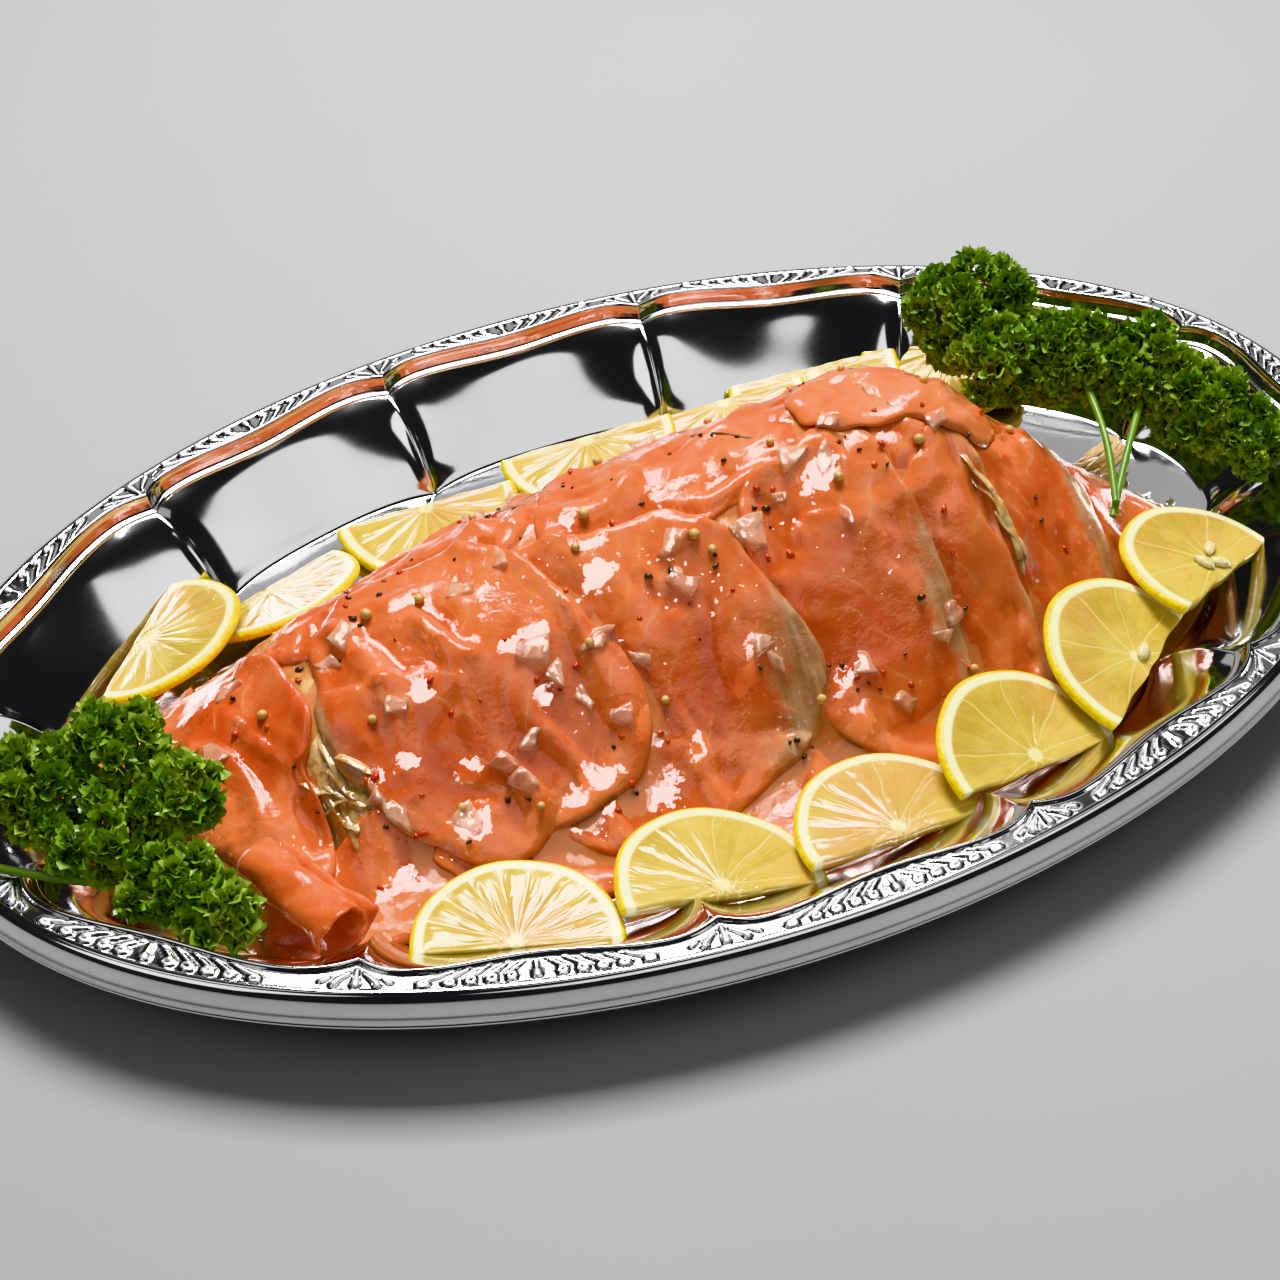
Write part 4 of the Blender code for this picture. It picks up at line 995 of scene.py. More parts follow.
def mound_field():
    """Height of the dressed mound's surface over the table, and where it swells and shines."""
    top, ridge, front, back = (
        np.interp(GRID_X, MOUND_X, row)
        for row in (MOUND_TOP, MOUND_RIDGE, MOUND_FRONT, MOUND_BACK)
    )
    near = (ridge - GRID_Y) / (ridge - front)
    far = (GRID_Y - ridge) / (back - ridge)
    reach = np.where(GRID_Y < ridge, near, far)
    rise = np.where(reach < 1.0, np.maximum(1.0 - reach ** 2, 0.0) ** MOUND_ROUNDNESS, 0.0)
    smooth = blurred(top * rise, 3.5)
    lumps = 1.3 * cloudy(GRID_X, GRID_Y, 30.0, 3) + 0.35 * cloudy(GRID_X, GRID_Y, 13.0, 4)
    for spot, length, width, heading, deep in HOLLOWS:
        lumps = lumps + dent(GRID_X, GRID_Y, spot, length, width, heading, deep)
    shine = 0.0 * smooth
    for px, py, radius, rise in SHINES_SEEN:
        spot = seen_at(px, py, smooth)
        there = -dent(GRID_X, GRID_Y, spot, radius, 0.6 * radius, 15.0, 1.0)
        lumps = lumps + rise * there
        shine = np.maximum(shine, there)
    return smooth + lumps * smoothstep(smooth / 14.0), shine


def slice_place(number, x, y):
    """A slice's own coordinates of places in plan: along, across and bent across, -1 to 1."""
    x0, y0, length, width, heading = SLICES[number][1:6]
    turn = math.radians(heading)
    u = ((x - x0) * math.cos(turn) + (y - y0) * math.sin(turn)) / (length / 2)
    v = (-(x - x0) * math.sin(turn) + (y - y0) * math.cos(turn)) / (width / 2)
    return u, v, v + SLICE_BEND * np.sin(1.7 * u + number)


def slice_wave(number, around):
    """How far the slice's edge waves out or in, by direction."""
    wave = sum(size * np.sin(times * around + shift * number)
               for times, size, shift in SLICE_WAVES)
    for name, middle, width, deep in BITES:
        if name == SLICES[number][0]:
            wave = wave - deep * np.exp(-((around - middle) / width) ** 2)
    return wave


def slice_inside(number, x, y):
    """Distance inside a slice's uneven outline, in millimetres."""
    u, _, v = slice_place(number, x, y)
    wave = slice_wave(number, np.arctan2(v, u))
    reach = (np.abs(u) ** SLICE_CORNER + np.abs(v) ** SLICE_CORNER) ** (1 / SLICE_CORNER)
    return (1.0 + wave - reach) * min(SLICES[number][3:5]) / 2


def slice_reaches():
    """Distance inside the outline of each slice, over the lattice."""
    return [slice_inside(k, GRID_X, GRID_Y) for k in range(len(SLICES))]


def pit_field():
    """Depth of the openings between the slices, over the lattice."""
    return sum(dent(GRID_X, GRID_Y, *row) for row in PITS)


def fold_field(number, x, y):
    """Soft folds that run along a slice, and fine crinkles across it."""
    tall, spacing = SLICES[number][6:8]
    u, v, _ = slice_place(number, x, y)
    length, width = SLICES[number][3:5]
    across = v * width / 2
    along = u * length / 2
    bend = 5.0 * cloudy(along, across, 34.0, 20 + number)
    wave = np.sin(2 * np.pi * (across + bend) / spacing + 1.7 * number)
    swell = smoothstep(0.5 + 0.6 * cloudy(along, across, 38.0, 60 + number))
    folds = 0.75 * tall * np.maximum(wave + 0.15, 0.0) ** 1.7 * swell
    crimp = smoothstep(0.3 + 0.7 * cloudy(along, across, 30.0, 90 + number))
    fine = 0.22 * cloudy(along * 0.55, across, 4.6, 130 + number) * crimp
    crossing = np.abs(cloudy(x, y, 24.0, 300 + number))
    wrinkle = 0.6 * smoothstep(1.0 - 2.6 * crossing) * smoothstep(0.4 + cloudy(x, y, 40.0, 7))
    return folds + fine + wrinkle


def fold_edge(x, y, path, height, reach):
    """A ledge along a path: high on its left, running out over a reach, nothing on its right."""
    best = np.full_like(x, 1e9)
    side = np.zeros_like(x)
    done = np.zeros_like(x)
    for k, (first, second) in enumerate(zip(path, path[1:])):
        a, b = np.array(first), np.array(second)
        run = b - a
        share = np.clip(((x - a[0]) * run[0] + (y - a[1]) * run[1]) / run.dot(run), 0.0, 1.0)
        dx, dy = x - a[0] - share * run[0], y - a[1] - share * run[1]
        away = np.hypot(dx, dy)
        near = away < best
        best = np.where(near, away, best)
        side = np.where(near, np.sign(run[0] * dy - run[1] * dx), side)
        done = np.where(near, (k + share) / (len(path) - 1), done)
    best = best * side
    ends = smoothstep(done / 0.2) * smoothstep((1.0 - done) / 0.2)
    rise = smoothstep((best + 0.6) / 1.8) * np.exp(-np.maximum(best, 0.0) / reach)
    return height * rise * ends


def hem_field(number, x, y, inside):
    """How far a slice's edge stands up and curls, uneven round its outline."""
    uneven = smoothstep(0.45 + 0.75 * cloudy(x, y, 27.0, 170 + number))
    return HEM_RISE * uneven * np.exp(-((inside - 2.4) / 1.9) ** 2)


def seen_at(px, py, field):
    """The place on the field that a pixel of the photograph looks at, in plan."""
    right, up, back = (np.array(row) for row in (CAMERA_RIGHT, CAMERA_UP, CAMERA_BACK))
    middle = PICTURE_SIZE / 2
    ray = right * (px - middle) / FOCAL + up * (middle - py) / FOCAL - back
    steps = np.arange(SIGHT_NEAR, SIGHT_FAR, SIGHT_STEP)[:, None]
    spots = np.array(CAMERA_SPOT) + steps * ray
    below = spots[:, 2] < sampled(field, spots[:, 0], spots[:, 1])
    hit = spots[int(np.argmax(below))]
    return float(hit[0]), float(hit[1])


def lay_slices(tray_field):
    """Heights of the bed, of each slice's two surfaces and of the top of all, and the shine."""
    support = np.maximum(blurred(tray_field, 1.0), tray_field)
    inside = slice_reaches()
    layers = sum(smoothstep((field + 6.0) / 12.0) for field in inside)
    surface, shine = mound_field()
    core = surface - LAYER * layers
    bed = np.where(core - support > 1.0, core, 0.0)
    strands = 0.8 * np.sin(0.9 * GRID_X + 0.6 * GRID_Y) * np.sin(0.35 * GRID_X - 1.1 * GRID_Y)
    bed = np.where(bed > 0.0, bed + strands, 0.0)
    support = np.maximum(support, bed)
    sheets = []
    ledges = sum(
        fold_edge(GRID_X, GRID_Y, [seen_at(px, py, surface) for px, py in path], height, reach)
        for path, height, reach in FOLDS_SEEN
    )
    raised = np.zeros_like(surface)
    for number, field in enumerate(inside):
        near = field > -DRAPE_MARGIN
        resting = support.copy()
        for _ in range(DRAPE_PASSES):
            taut = np.clip(blurred(resting, DRAPE_BLUR), support, support + SAG)
            resting = np.where(near, taut, support)
        resting = blurred(resting, 0.8)
        resting = np.maximum(resting, support - 0.2)
        resting += fold_field(number, GRID_X, GRID_Y) * smoothstep((field + 1.0) / 7.0)
        added = ledges * smoothstep((field + 2.0) / 3.0)
        resting += np.maximum(added - raised, 0.0)
        raised = np.maximum(raised, added)
        along, across = np.gradient(resting, LATTICE)
        slope = np.sqrt(1.0 + np.minimum(along ** 2 + across ** 2, 1.6))
        under = resting + LAYER_GAP
        over = under + SLICE_THICK * slope + hem_field(number, GRID_X, GRID_Y, field)
        share = smoothstep((field + 0.5 * LATTICE) / LATTICE)
        support = np.where(share > 0.0, support + (over - support) * share, support)
        sheets.append((under, over))
    pit = pit_field()
    sheets = [(under + pit, over + pit) for under, over in sheets]
    return bed + pit * (bed > 0.0), sheets, support + pit, shine


def crowded(count):
    """Places from -1 to 1 that stand closer together towards both ends."""
    even = np.linspace(-1, 1, count)
    return np.sin(even * np.pi / 2 * EDGE_CROWDING) / np.sin(np.pi / 2 * EDGE_CROWDING)


def make_slice(number, under, over, hollow_shade_and_oil, shine, finish):
    """One slice as a thin sheet with a rounded edge, fat lines along its own coordinates."""
    name, x0, y0, length, width, heading = SLICES[number][:6]
    margin = SLICES[number][8]
    turn = math.radians(heading)
    columns = int(length / LATTICE)
    rows = int(width / LATTICE)
    a, b = np.meshgrid(crowded(columns), crowded(rows))
    reach = np.maximum(np.abs(a), np.abs(b))
    around = np.arctan2(b, a)
    cos, sin = np.cos(around), np.sin(around)
    size = (np.abs(cos) ** SLICE_CORNER + np.abs(sin) ** SLICE_CORNER) ** (-1 / SLICE_CORNER)
    out = (1.0 + slice_wave(number, around)) * size * reach
    u = out * cos
    v = out * sin - SLICE_BEND * np.sin(1.7 * u + number)
    x = x0 + u * length / 2 * math.cos(turn) - v * width / 2 * math.sin(turn)
    y = y0 + u * length / 2 * math.sin(turn) + v * width / 2 * math.cos(turn)
    edge = (1.0 - reach) * min(length, width) / 2
    low = sampled(under, x, y)
    high = sampled(over, x, y)
    taper = 2.3 + 3.4 * smoothstep(0.5 + 0.8 * cloudy(x, y, 24.0, 400 + number))
    share = 0.16 + 0.84 * np.sqrt(1.0 - (1.0 - np.clip(edge / taper, 0.0, 1.0)) ** 2)
    high = low + (high - low) * share
    ruffle = cloudy(x, y, 9.0, 210 + number)
    lift = np.clip(0.5 * ruffle, -0.15, 1.0) * smoothstep(1.0 - edge / 4.5)
    high = high + lift
    low = low + 0.8 * lift
    grain = np.stack([u * length / 200.0, v * width / 200.0], axis=-1).reshape(-1, 2)
    if margin:
        facing, margin = np.sign(margin), abs(margin)
        uneven = margin * (1.0 + 0.3 * cloudy(u * length / 2, 0.0 * u, 22.0, 240 + number))
        uneven = uneven * (0.12 + 1.0 * smoothstep((u + 0.7) / 1.3))
        outline = width / 2 * np.sqrt(np.clip(1.0 - 0.6 * u * u, 0.1, 1.0))
        side = (facing * v * width / 2 - outline + uneven) / margin
        fat = np.clip(0.5 + 0.5 * side, 0.0, 1.0) * smoothstep(3.0 * facing * sin)
    else:
        fat = 0.0 * v
    level = np.tile(high.ravel(), 2)
    # Painted light: the slice is lighter the higher it lies, and again near the bottom; a random
    # share per slice is its own tone
    painted_light_by_height = np.maximum(smoothstep((level - 30.0) / 52.0), smoothstep((32.0 - level) / 14.0))
    tone_and_painted_light = 0.3 * ((number * 0.37) % 1.0) + 0.7 * painted_light_by_height
    # How hollow the mound is here: painted shade in the colour, and an oilier surface
    wet = np.tile(sampled(hollow_shade_and_oil, x, y).ravel(), 2)
    piece = mesh_piece(
        "slice_" + name, sheet_points(x, y, high, low), sheet_faces(rows, columns), finish,
        uv=np.concatenate([grain, grain]),
        values={"fat": np.tile(fat.ravel(), 2), "tone_and_painted_light": tone_and_painted_light, "wet": wet,
                "shine": np.tile(sampled(shine, x, y).ravel(), 2)},
    )
    dress(piece, "salmon", "salmon_" + name)


def make_roll(finish):
    """The rolled slice end, a curled sheet with a wavy lip."""
    steps, rows = 72, 30
    turn = np.linspace(0.0, 2 * np.pi * ROLL_TURNS, steps)
    along = np.linspace(-0.5, 0.5, rows)
    t, a = np.meshgrid(turn, along)
    share = t / turn[-1]
    radius = ROLL_RADIUS * (ROLL_INNER + (1.0 - ROLL_INNER) * share)
    radius *= ROLL_NARROW + (1.0 - ROLL_NARROW) * (a + 0.5)
    radius += 0.45 * np.sin(3 * t + 9 * a) + 0.3 * np.sin(21 * a + t)
    radius *= 1.0 + 0.12 * smoothstep((a - 0.1) / 0.4)
    x = ROLL_LENGTH * a + (a > 0) * (1.6 * np.sin(2.3 * t) + 0.5 * np.sin(7.0 * t)) * a
    edge = np.minimum(share, 1.0 - share) * turn[-1] * ROLL_RADIUS
    end = (0.5 - np.abs(a)) * ROLL_LENGTH
    thick = SLICE_THICK * (0.4 + 0.6 * np.clip(np.minimum(edge, end) / 2.0, 0, 1) ** 0.5)
    sheets = [sheet_points(x, r * np.sin(t), -ROLL_FLAT * r * np.cos(t))
              for r in (radius, radius - thick)]
    rotation, spot = turned(ROLL_SPOT, ROLL_TURN)
    points = np.concatenate(sheets) @ rotation.T + spot
    grain = np.stack([x / 100.0, t * ROLL_RADIUS / 100.0], axis=-1).reshape(-1, 2)
    zero = np.zeros(len(points))
    piece = mesh_piece(
        "rolled_slice", points, sheet_faces(rows, steps), finish,
        uv=np.concatenate([grain, grain]),
        values={"fat": zero, "tone_and_painted_light": zero + 0.3, "wet": zero, "shine": zero + 0.42},
    )
    dress(piece, "salmon", "salmon_roll")


def make_bed(bed, tray_field, finish):
    """The shredded onion heap below the salmon, with a flat underside on the tray."""
    columns, rows = 150, 70
    a, b = np.meshgrid(np.linspace(-1, 1, columns), np.linspace(-1, 1, rows))
    x = BED_MIDDLE + BED_HALF_LENGTH * a
    front = np.interp(x, MOUND_X, MOUND_FRONT) + BED_INSET
    back = np.interp(x, MOUND_X, MOUND_BACK) - BED_INSET
    y = (front + back) / 2 + (back - front) / 2 * b
    floor = sampled(tray_field, x, y) + 0.3
    high = np.maximum(sampled(bed, x, y), floor + 0.4)
    rim = np.maximum(np.abs(a), np.abs(b)) > 0.999
    high = np.where(rim, floor + 0.2, high)
    piece = mesh_piece("onion_bed_core", sheet_points(x, y, high, floor),
                       sheet_faces(rows, columns), finish)
    dress(piece, "onion", "onion_bed")


def make_lemon(number, finish):
    """One lemon half slice: two faces with raised membranes and a rounded dimpled rind."""
    spot, turn, radius, past = LEMONS[number]
    start = -math.asin(past / radius)
    sweep = math.pi - 2 * start
    angles, rings = 120, 26
    t = start + sweep * np.linspace(0.0, 1.0, angles)
    out = radius * (1.0 + 0.012 * np.sin(3 * t + number) + 0.006 * np.sin(7 * t + 2 * number))
    arc_x, arc_y = out * np.cos(t), out * np.sin(t)
    for end in (0, -1):
        arc_y = arc_y - (past + arc_y[end]) * np.exp(-((t - t[end]) / 0.2) ** 2)
    spread = np.linspace(0.0, 1.0, rings)
    outer = 0.75 + 0.25 * np.sin(np.pi / 2 * (spread - 0.6) / 0.4)
    spread = np.where(spread < 0.6, spread * 1.25, outer)
    ragged = 0.16 * np.sin(9.0 * spread + 2 * number) * (spread < 0.93) * smoothstep(spread / 0.15)
    phase = 0.7 * number
    layers, uv = [], []
    for face in (1.0, -1.0):
        for ring, rough in zip(spread, ragged):
            x = ring * arc_x
            y = -past + ring * (arc_y + past) + rough * (1.0 - np.sin(t)) ** 6
            share = np.hypot(x, y) / (out if ring > 0.0 else radius)
            round_turn = np.arctan2(y, x) / (2 * np.pi) + phase / (2 * np.pi)
            side = 0.5 - np.abs((round_turn * LEMON_SEGMENTS) % 1.0 - 0.5)
            open_pulp = smoothstep((0.85 - share) / 0.05) * smoothstep((share - 0.08) / 0.08)
            swell = np.sin(np.pi * np.clip(side * 2, 0, 1)) ** 0.6 - 0.45
            height = LEMON_THICK / 2 - 0.25 + 0.42 * swell * open_pulp
            edge = (1.0 - ring) * radius
            height = height * np.sqrt(1.0 - (1.0 - np.clip(edge / 1.9, 0.0, 1.0)) ** 2)
            warp = 0.45 * np.sin(1.7 * x / radius + number) * share ** 2
            layers.append(np.stack([x, y, LEMON_THICK / 2 + face * height + warp], axis=-1))
            uv.append(np.stack([share * np.cos(2 * np.pi * round_turn),
                                share * np.sin(2 * np.pi * round_turn)], axis=-1))
    points = np.concatenate(layers)
    top = grid_faces(rings, angles, wrap=False)
    low = grid_faces(rings, angles, start=rings * angles, wrap=False)[:, ::-1]
    first = np.arange(rings) * angles
    shift = rings * angles
    caps = [np.stack([edge[:-1], edge[1:], edge[1:] + shift, edge[:-1] + shift], axis=-1)
            for edge in (first, first + angles - 1)]
    rotation, place = turned(spot, turn)
    piece = mesh_piece("lemon_%02d" % (number + 1), points @ rotation.T + place,
                       [top, low] + caps, finish, uv=np.concatenate(uv))
    face_outward(piece.data, merged=True)
    dress(piece, "lemon", "lemon_slice_%02d" % (number + 1))


def leaflet_shape(work, draw):
    """A small ruffled fan with a rolled edge, as one curl of curly parsley."""
    spokes = 10
    turn = draw.uniform(-0.3, 0.3)
    middle = work.verts.new((0.0, 0.0, 0.0))
    rows = []
    for share, cup in ((0.45, 0.04), (0.85, 0.20), (0.97, 0.40)):
        row = []
        for k in range(spokes):
            angle = math.radians(-135 + 270 * k / (spokes - 1)) + turn
            up = math.sin(1.9 * k + 9.0 * turn)
            reach = 0.54 * share * (1.0 - 0.08 * up * (share > 0.7))
            ruffle = (0.24 * up + 0.05 * (-1) ** k) * share ** 1.5 + draw.uniform(-0.03, 0.03)
            row.append(work.verts.new((reach * math.sin(angle), reach * math.cos(angle),
                                       cup + ruffle)))
        rows.append(row)
    for k in range(spokes - 1):
        work.faces.new((middle, rows[0][k + 1], rows[0][k]))
        for low, high in zip(rows, rows[1:]):
            work.faces.new((low[k], low[k + 1], high[k + 1], high[k]))


def small_shape(name, kind, seed):
    """One small shape of a few dozen faces, about one unit across, to be scattered."""
    draw = random.Random(seed)
    work = bmesh.new()
    if kind == "ball":
        bmesh.ops.create_icosphere(work, subdivisions=2, radius=0.5)
        for vert in work.verts:
            vert.co.z *= 0.93
    elif kind in CRUSHED:
        least, long, thin = CRUSHED[kind]
        bmesh.ops.create_icosphere(work, subdivisions=1, radius=0.5)
        for vert in work.verts:
            vert.co *= draw.uniform(least, 1.2)
            vert.co.x *= long
            vert.co.z *= thin
    elif kind == "pip":
        bmesh.ops.create_icosphere(work, subdivisions=2, radius=0.5)
        for vert in work.verts:
            vert.co.y *= 0.52 * (1.0 - 0.45 * vert.co.x)
            vert.co.z *= 0.4
    elif kind == "dice":
        bmesh.ops.create_cube(work, size=1.0)
        bmesh.ops.subdivide_edges(work, edges=work.edges, cuts=2, use_grid_fill=True)
        lean = draw.uniform(-0.6, 0.6)
        pinch = draw.uniform(-0.2, 0.9)
        wide = draw.uniform(0.5, 0.9)
        for vert in work.verts:
            co = vert.co
            corner = (abs(co.x) > 0.4) + (abs(co.y) > 0.4) + (abs(co.z) > 0.4)
            bowed = Vector((co.x + lean * co.y, co.y * (wide - pinch * co.x),
                            co.z * 0.42 + 0.5 * co.x ** 2 - 0.1))
            vert.co = bowed * (1.0 - 0.05 * max(corner - 1, 0))
            vert.co += Vector([draw.uniform(-0.05, 0.05) for _ in range(3)])
    elif kind == "leaflet":
        leaflet_shape(work, draw)
    bmesh.ops.recalc_face_normals(work, faces=work.faces)
    if kind == "leaflet" and sum(face.normal.z for face in work.faces) < 0.0:
        bmesh.ops.reverse_faces(work, faces=work.faces)
    mesh = bpy.data.meshes.new(name)
    work.to_mesh(mesh)
    work.free()
    if kind == "leaflet":
        # From a curl's middle out to its frill, for the leaf's painted shade and highlight
        item = mesh.attributes.new("curl_shade_and_highlight", "FLOAT", "POINT")
        item.data.foreach_set("value", [min(v.co.length * 1.7, 1.0) for v in mesh.vertices])
    mesh.shade_smooth()
    return bpy.data.objects.new(name, mesh)


def new_tree(name, *inputs):
    """A node tree that takes geometry, the named inputs and a finish, and its input node."""
    tree = bpy.data.node_groups.new(name, "GeometryNodeTree")
    tree.is_modifier = True
    for key, kind in (("Geometry", "Geometry"), *inputs, ("Finish", "Material")):
        tree.interface.new_socket(key, in_out="INPUT", socket_type="NodeSocket" + kind)
    tree.interface.new_socket("Geometry", in_out="OUTPUT", socket_type="NodeSocketGeometry")
    return tree, tree.nodes.new("NodeGroupInput")


def end_tree(tree, source, made):
    """End a tree in Realize Instances and Set Material."""
    nodes, links = tree.nodes, tree.links
    result = nodes.new("NodeGroupOutput")
    realize = nodes.new("GeometryNodeRealizeInstances")
    paint = nodes.new("GeometryNodeSetMaterial")
    links.new(made, realize.inputs["Geometry"])
    links.new(realize.outputs["Geometry"], paint.inputs["Geometry"])
    links.new(source.outputs["Finish"], paint.inputs["Material"])
    links.new(paint.outputs["Geometry"], result.inputs["Geometry"])


def scatter_tree():
    """A node tree that sets one of several shapes on each point, turned and sized by it."""
    tree, source = new_tree("scatter pieces", ("Shapes", "Collection"), ("Size", "Float"))
    nodes, links = tree.nodes, tree.links
    to_points = nodes.new("GeometryNodeMeshToPoints")
    shapes = nodes.new("GeometryNodeCollectionInfo")
    shapes.inputs["Separate Children"].default_value = True
    shapes.inputs["Reset Children"].default_value = True
    put = nodes.new("GeometryNodeInstanceOnPoints")
    put.inputs["Pick Instance"].default_value = True
    read = {}
    for key, kind in (("turn", "FLOAT_VECTOR"), ("size", "FLOAT_VECTOR"), ("shape", "INT")):
        read[key] = nodes.new("GeometryNodeInputNamedAttribute")
        read[key].data_type = kind
        read[key].inputs["Name"].default_value = key
    spin = nodes.new("FunctionNodeEulerToRotation")
    grow = nodes.new("ShaderNodeVectorMath")
    grow.operation = "SCALE"
    links.new(source.outputs["Geometry"], to_points.inputs["Mesh"])
    links.new(to_points.outputs["Points"], put.inputs["Points"])
    links.new(source.outputs["Shapes"], shapes.inputs["Collection"])
    links.new(shapes.outputs[0], put.inputs["Instance"])
    links.new(read["shape"].outputs["Attribute"], put.inputs["Instance Index"])
    links.new(read["turn"].outputs["Attribute"], spin.inputs[0])
    links.new(spin.outputs[0], put.inputs["Rotation"])
    links.new(read["size"].outputs["Attribute"], grow.inputs[0])
    links.new(source.outputs["Size"], grow.inputs["Scale"])
    links.new(grow.outputs[0], put.inputs["Scale"])
    end_tree(tree, source, put.outputs["Instances"])
    return tree


def set_input(modifier, name, value):
    """Set a Geometry Nodes input by its name in the tree's interface."""
    for item in modifier.node_group.interface.items_tree:
        if item.name == name and item.in_out == "INPUT":
            modifier[item.identifier] = value


def grow(name, mesh, tree, inputs, finish, slot, nodes):
    """A piece that a node tree makes from a mesh of points or paths."""
    source = bpy.data.objects.new(name + "_source", mesh)
    bpy.context.scene.collection.objects.link(source)
    modifier = source.modifiers.new("grow", "NODES")
    modifier.node_group = tree
    for key, value in dict(inputs, Finish=finish).items():
        set_input(modifier, key, value)
    view = bpy.context.evaluated_depsgraph_get()
    made = bpy.data.meshes.new_from_object(source.evaluated_get(view), depsgraph=view)
    source.modifiers.clear()
    bpy.data.objects.remove(source, do_unlink=True)
    made.name = name
    made.shade_smooth()
    if not made.materials:
        made.materials.append(finish)
    piece = bpy.data.objects.new(name, made)
    bpy.context.scene.collection.objects.link(piece)
    dress(piece, slot, *nodes)


def scatter(name, tree, kind, variants, places, finish, slot, nodes=()):
    """One piece of many small shapes: places are (spot, turn, size) in mm and radians."""
    shapes = bpy.data.collections.new(name + " shapes")
    kept = [small_shape("%s_%d" % (name, k), kind, 7 * k + len(name)) for k in range(variants)]
    for shape in kept:
        shapes.objects.link(shape)
    mesh = bpy.data.meshes.new(name)
    mesh.from_pydata([tuple(c * MM for c in spot) for spot, _, _ in places], [], [])
    turn = mesh.attributes.new("turn", "FLOAT_VECTOR", "POINT")
    turn.data.foreach_set("vector", np.array([t for _, t, _ in places], dtype=float).ravel())
    size = mesh.attributes.new("size", "FLOAT_VECTOR", "POINT")
    size.data.foreach_set("vector", np.array([s for _, _, s in places], dtype=float).ravel())
    shape = mesh.attributes.new("shape", "INT", "POINT")
    shape.data.foreach_set("value", [k % variants for k in range(len(places))])
    grow(name, mesh, tree, {"Shapes": shapes, "Size": MM}, finish, slot, nodes)
    for shape in kept:
        bpy.data.objects.remove(shape, do_unlink=True)
    bpy.data.collections.remove(shapes)


# Toppings by their places in the photograph, in its pixels, with sizes in mm
DICE_SEEN = (
    (396, 707, 7), (532, 653, 10), (556, 672, 8), (597, 638, 9), (504, 765, 7), (531, 740, 8),
    (524, 782, 8), (469, 820, 8), (374, 800, 6), (396, 814, 9), (342, 636, 8), (328, 665, 7),
    (461, 591, 8), (621, 717, 7), (793, 457, 10), (824, 458, 8), (779, 500, 5), (672, 545, 10),
    (683, 582, 10), (751, 534, 11), (765, 643, 8), (776, 663, 6), (863, 664, 8), (897, 402, 5),
    (936, 419, 7), (953, 612, 7), (942, 636, 6), (846, 514, 6), (827, 423, 6), (640, 660, 7),
    (500, 560, 6), (214, 756, 8), (230, 690, 8), (872, 392, 6), (905, 700, 7), (585, 700, 7),
)
BALLS_SEEN = (
    (264, 717), (372, 720), (589, 643), (462, 808), (541, 806), (419, 601), (367, 616),
    (584, 515), (694, 536), (712, 550), (770, 444), (838, 478), (921, 441), (922, 382),
    (575, 549), (972, 669), (987, 403), (1008, 432), (665, 700), (820, 700),
)
PEPPER_SEEN = (
    (349, 599, 2.2), (380, 595, 2.0), (353, 620, 2.8), (360, 625, 1.6), (300, 671, 3.0),
    (234, 699, 2.2), (235, 681, 2.0), (507, 801, 2.2), (528, 800, 2.2), (318, 814, 1.4),
    (370, 810, 1.8), (387, 827, 2.0), (388, 933, 1.8), (294, 767, 1.6), (340, 661, 1.8),
    (614, 748, 1.6), (469, 843, 1.8), (636, 794, 2.6), (671, 572, 4.0), (648, 578, 2.6),
    (715, 568, 2.4), (715, 557, 1.6), (766, 510, 2.8), (753, 509, 2.2), (756, 528, 1.8),
    (724, 460, 2.0), (642, 505, 2.0), (712, 435, 1.6), (737, 438, 1.6), (700, 436, 1.8),
    (887, 465, 2.0), (921, 598, 2.8), (964, 609, 2.0), (838, 443, 1.8), (859, 450, 1.6),
    (828, 666, 2.2), (842, 665, 2.0), (761, 669, 1.6), (968, 437, 2.0), (797, 740, 2.2),
    (804, 757, 2.0), (790, 744, 1.6), (812, 748, 1.4), (760, 520, 1.5), (770, 527, 1.4),
    (869, 683, 1.5), (880, 690, 1.4), (858, 690, 1.6), (1035, 497, 2.2), (1041, 520, 2.0),
    (395, 640, 1.2), (412, 560, 1.4), (455, 560, 1.3), (520, 540, 1.2), (845, 437, 1.3),
    (670, 455, 1.4), (612, 480, 1.2), (560, 690, 1.1), (905, 655, 1.2), (700, 640, 1.1),
)
FLAKES_SEEN = (
    (399, 573, 2.6), (385, 581, 2.0), (346, 606, 2.4), (430, 681, 2.8), (451, 714, 2.8),
    (576, 667, 2.8), (537, 681, 2.6), (374, 777, 3.2), (366, 782, 2.4), (424, 835, 3.0),
    (416, 838, 2.2), (618, 811, 3.0), (632, 784, 3.2), (236, 737, 2.8), (565, 592, 2.6),
    (298, 681, 2.6), (267, 728, 2.4), (422, 796, 2.0), (548, 850, 2.2), (451, 883, 2.6),
    (380, 888, 2.2), (622, 737, 1.8), (612, 524, 2.8), (566, 592, 2.4), (756, 489, 2.6),
    (773, 490, 2.2), (768, 559, 2.4), (790, 554, 3.0), (874, 466, 2.6), (881, 444, 4.0),
    (874, 412, 2.2), (922, 405, 2.0), (944, 509, 2.8), (577, 667, 2.8), (857, 678, 2.2),
    (883, 673, 2.2), (911, 685, 2.6), (981, 413, 2.4), (1065, 550, 2.6), (952, 552, 2.4),
    (660, 735, 3.0), (668, 742, 2.2), (838, 760, 2.0), (970, 668, 2.2), (590, 640, 2.0),
    (690, 604, 1.8), (733, 590, 1.8), (505, 640, 1.8), (480, 700, 1.6), (640, 620, 1.8),
)


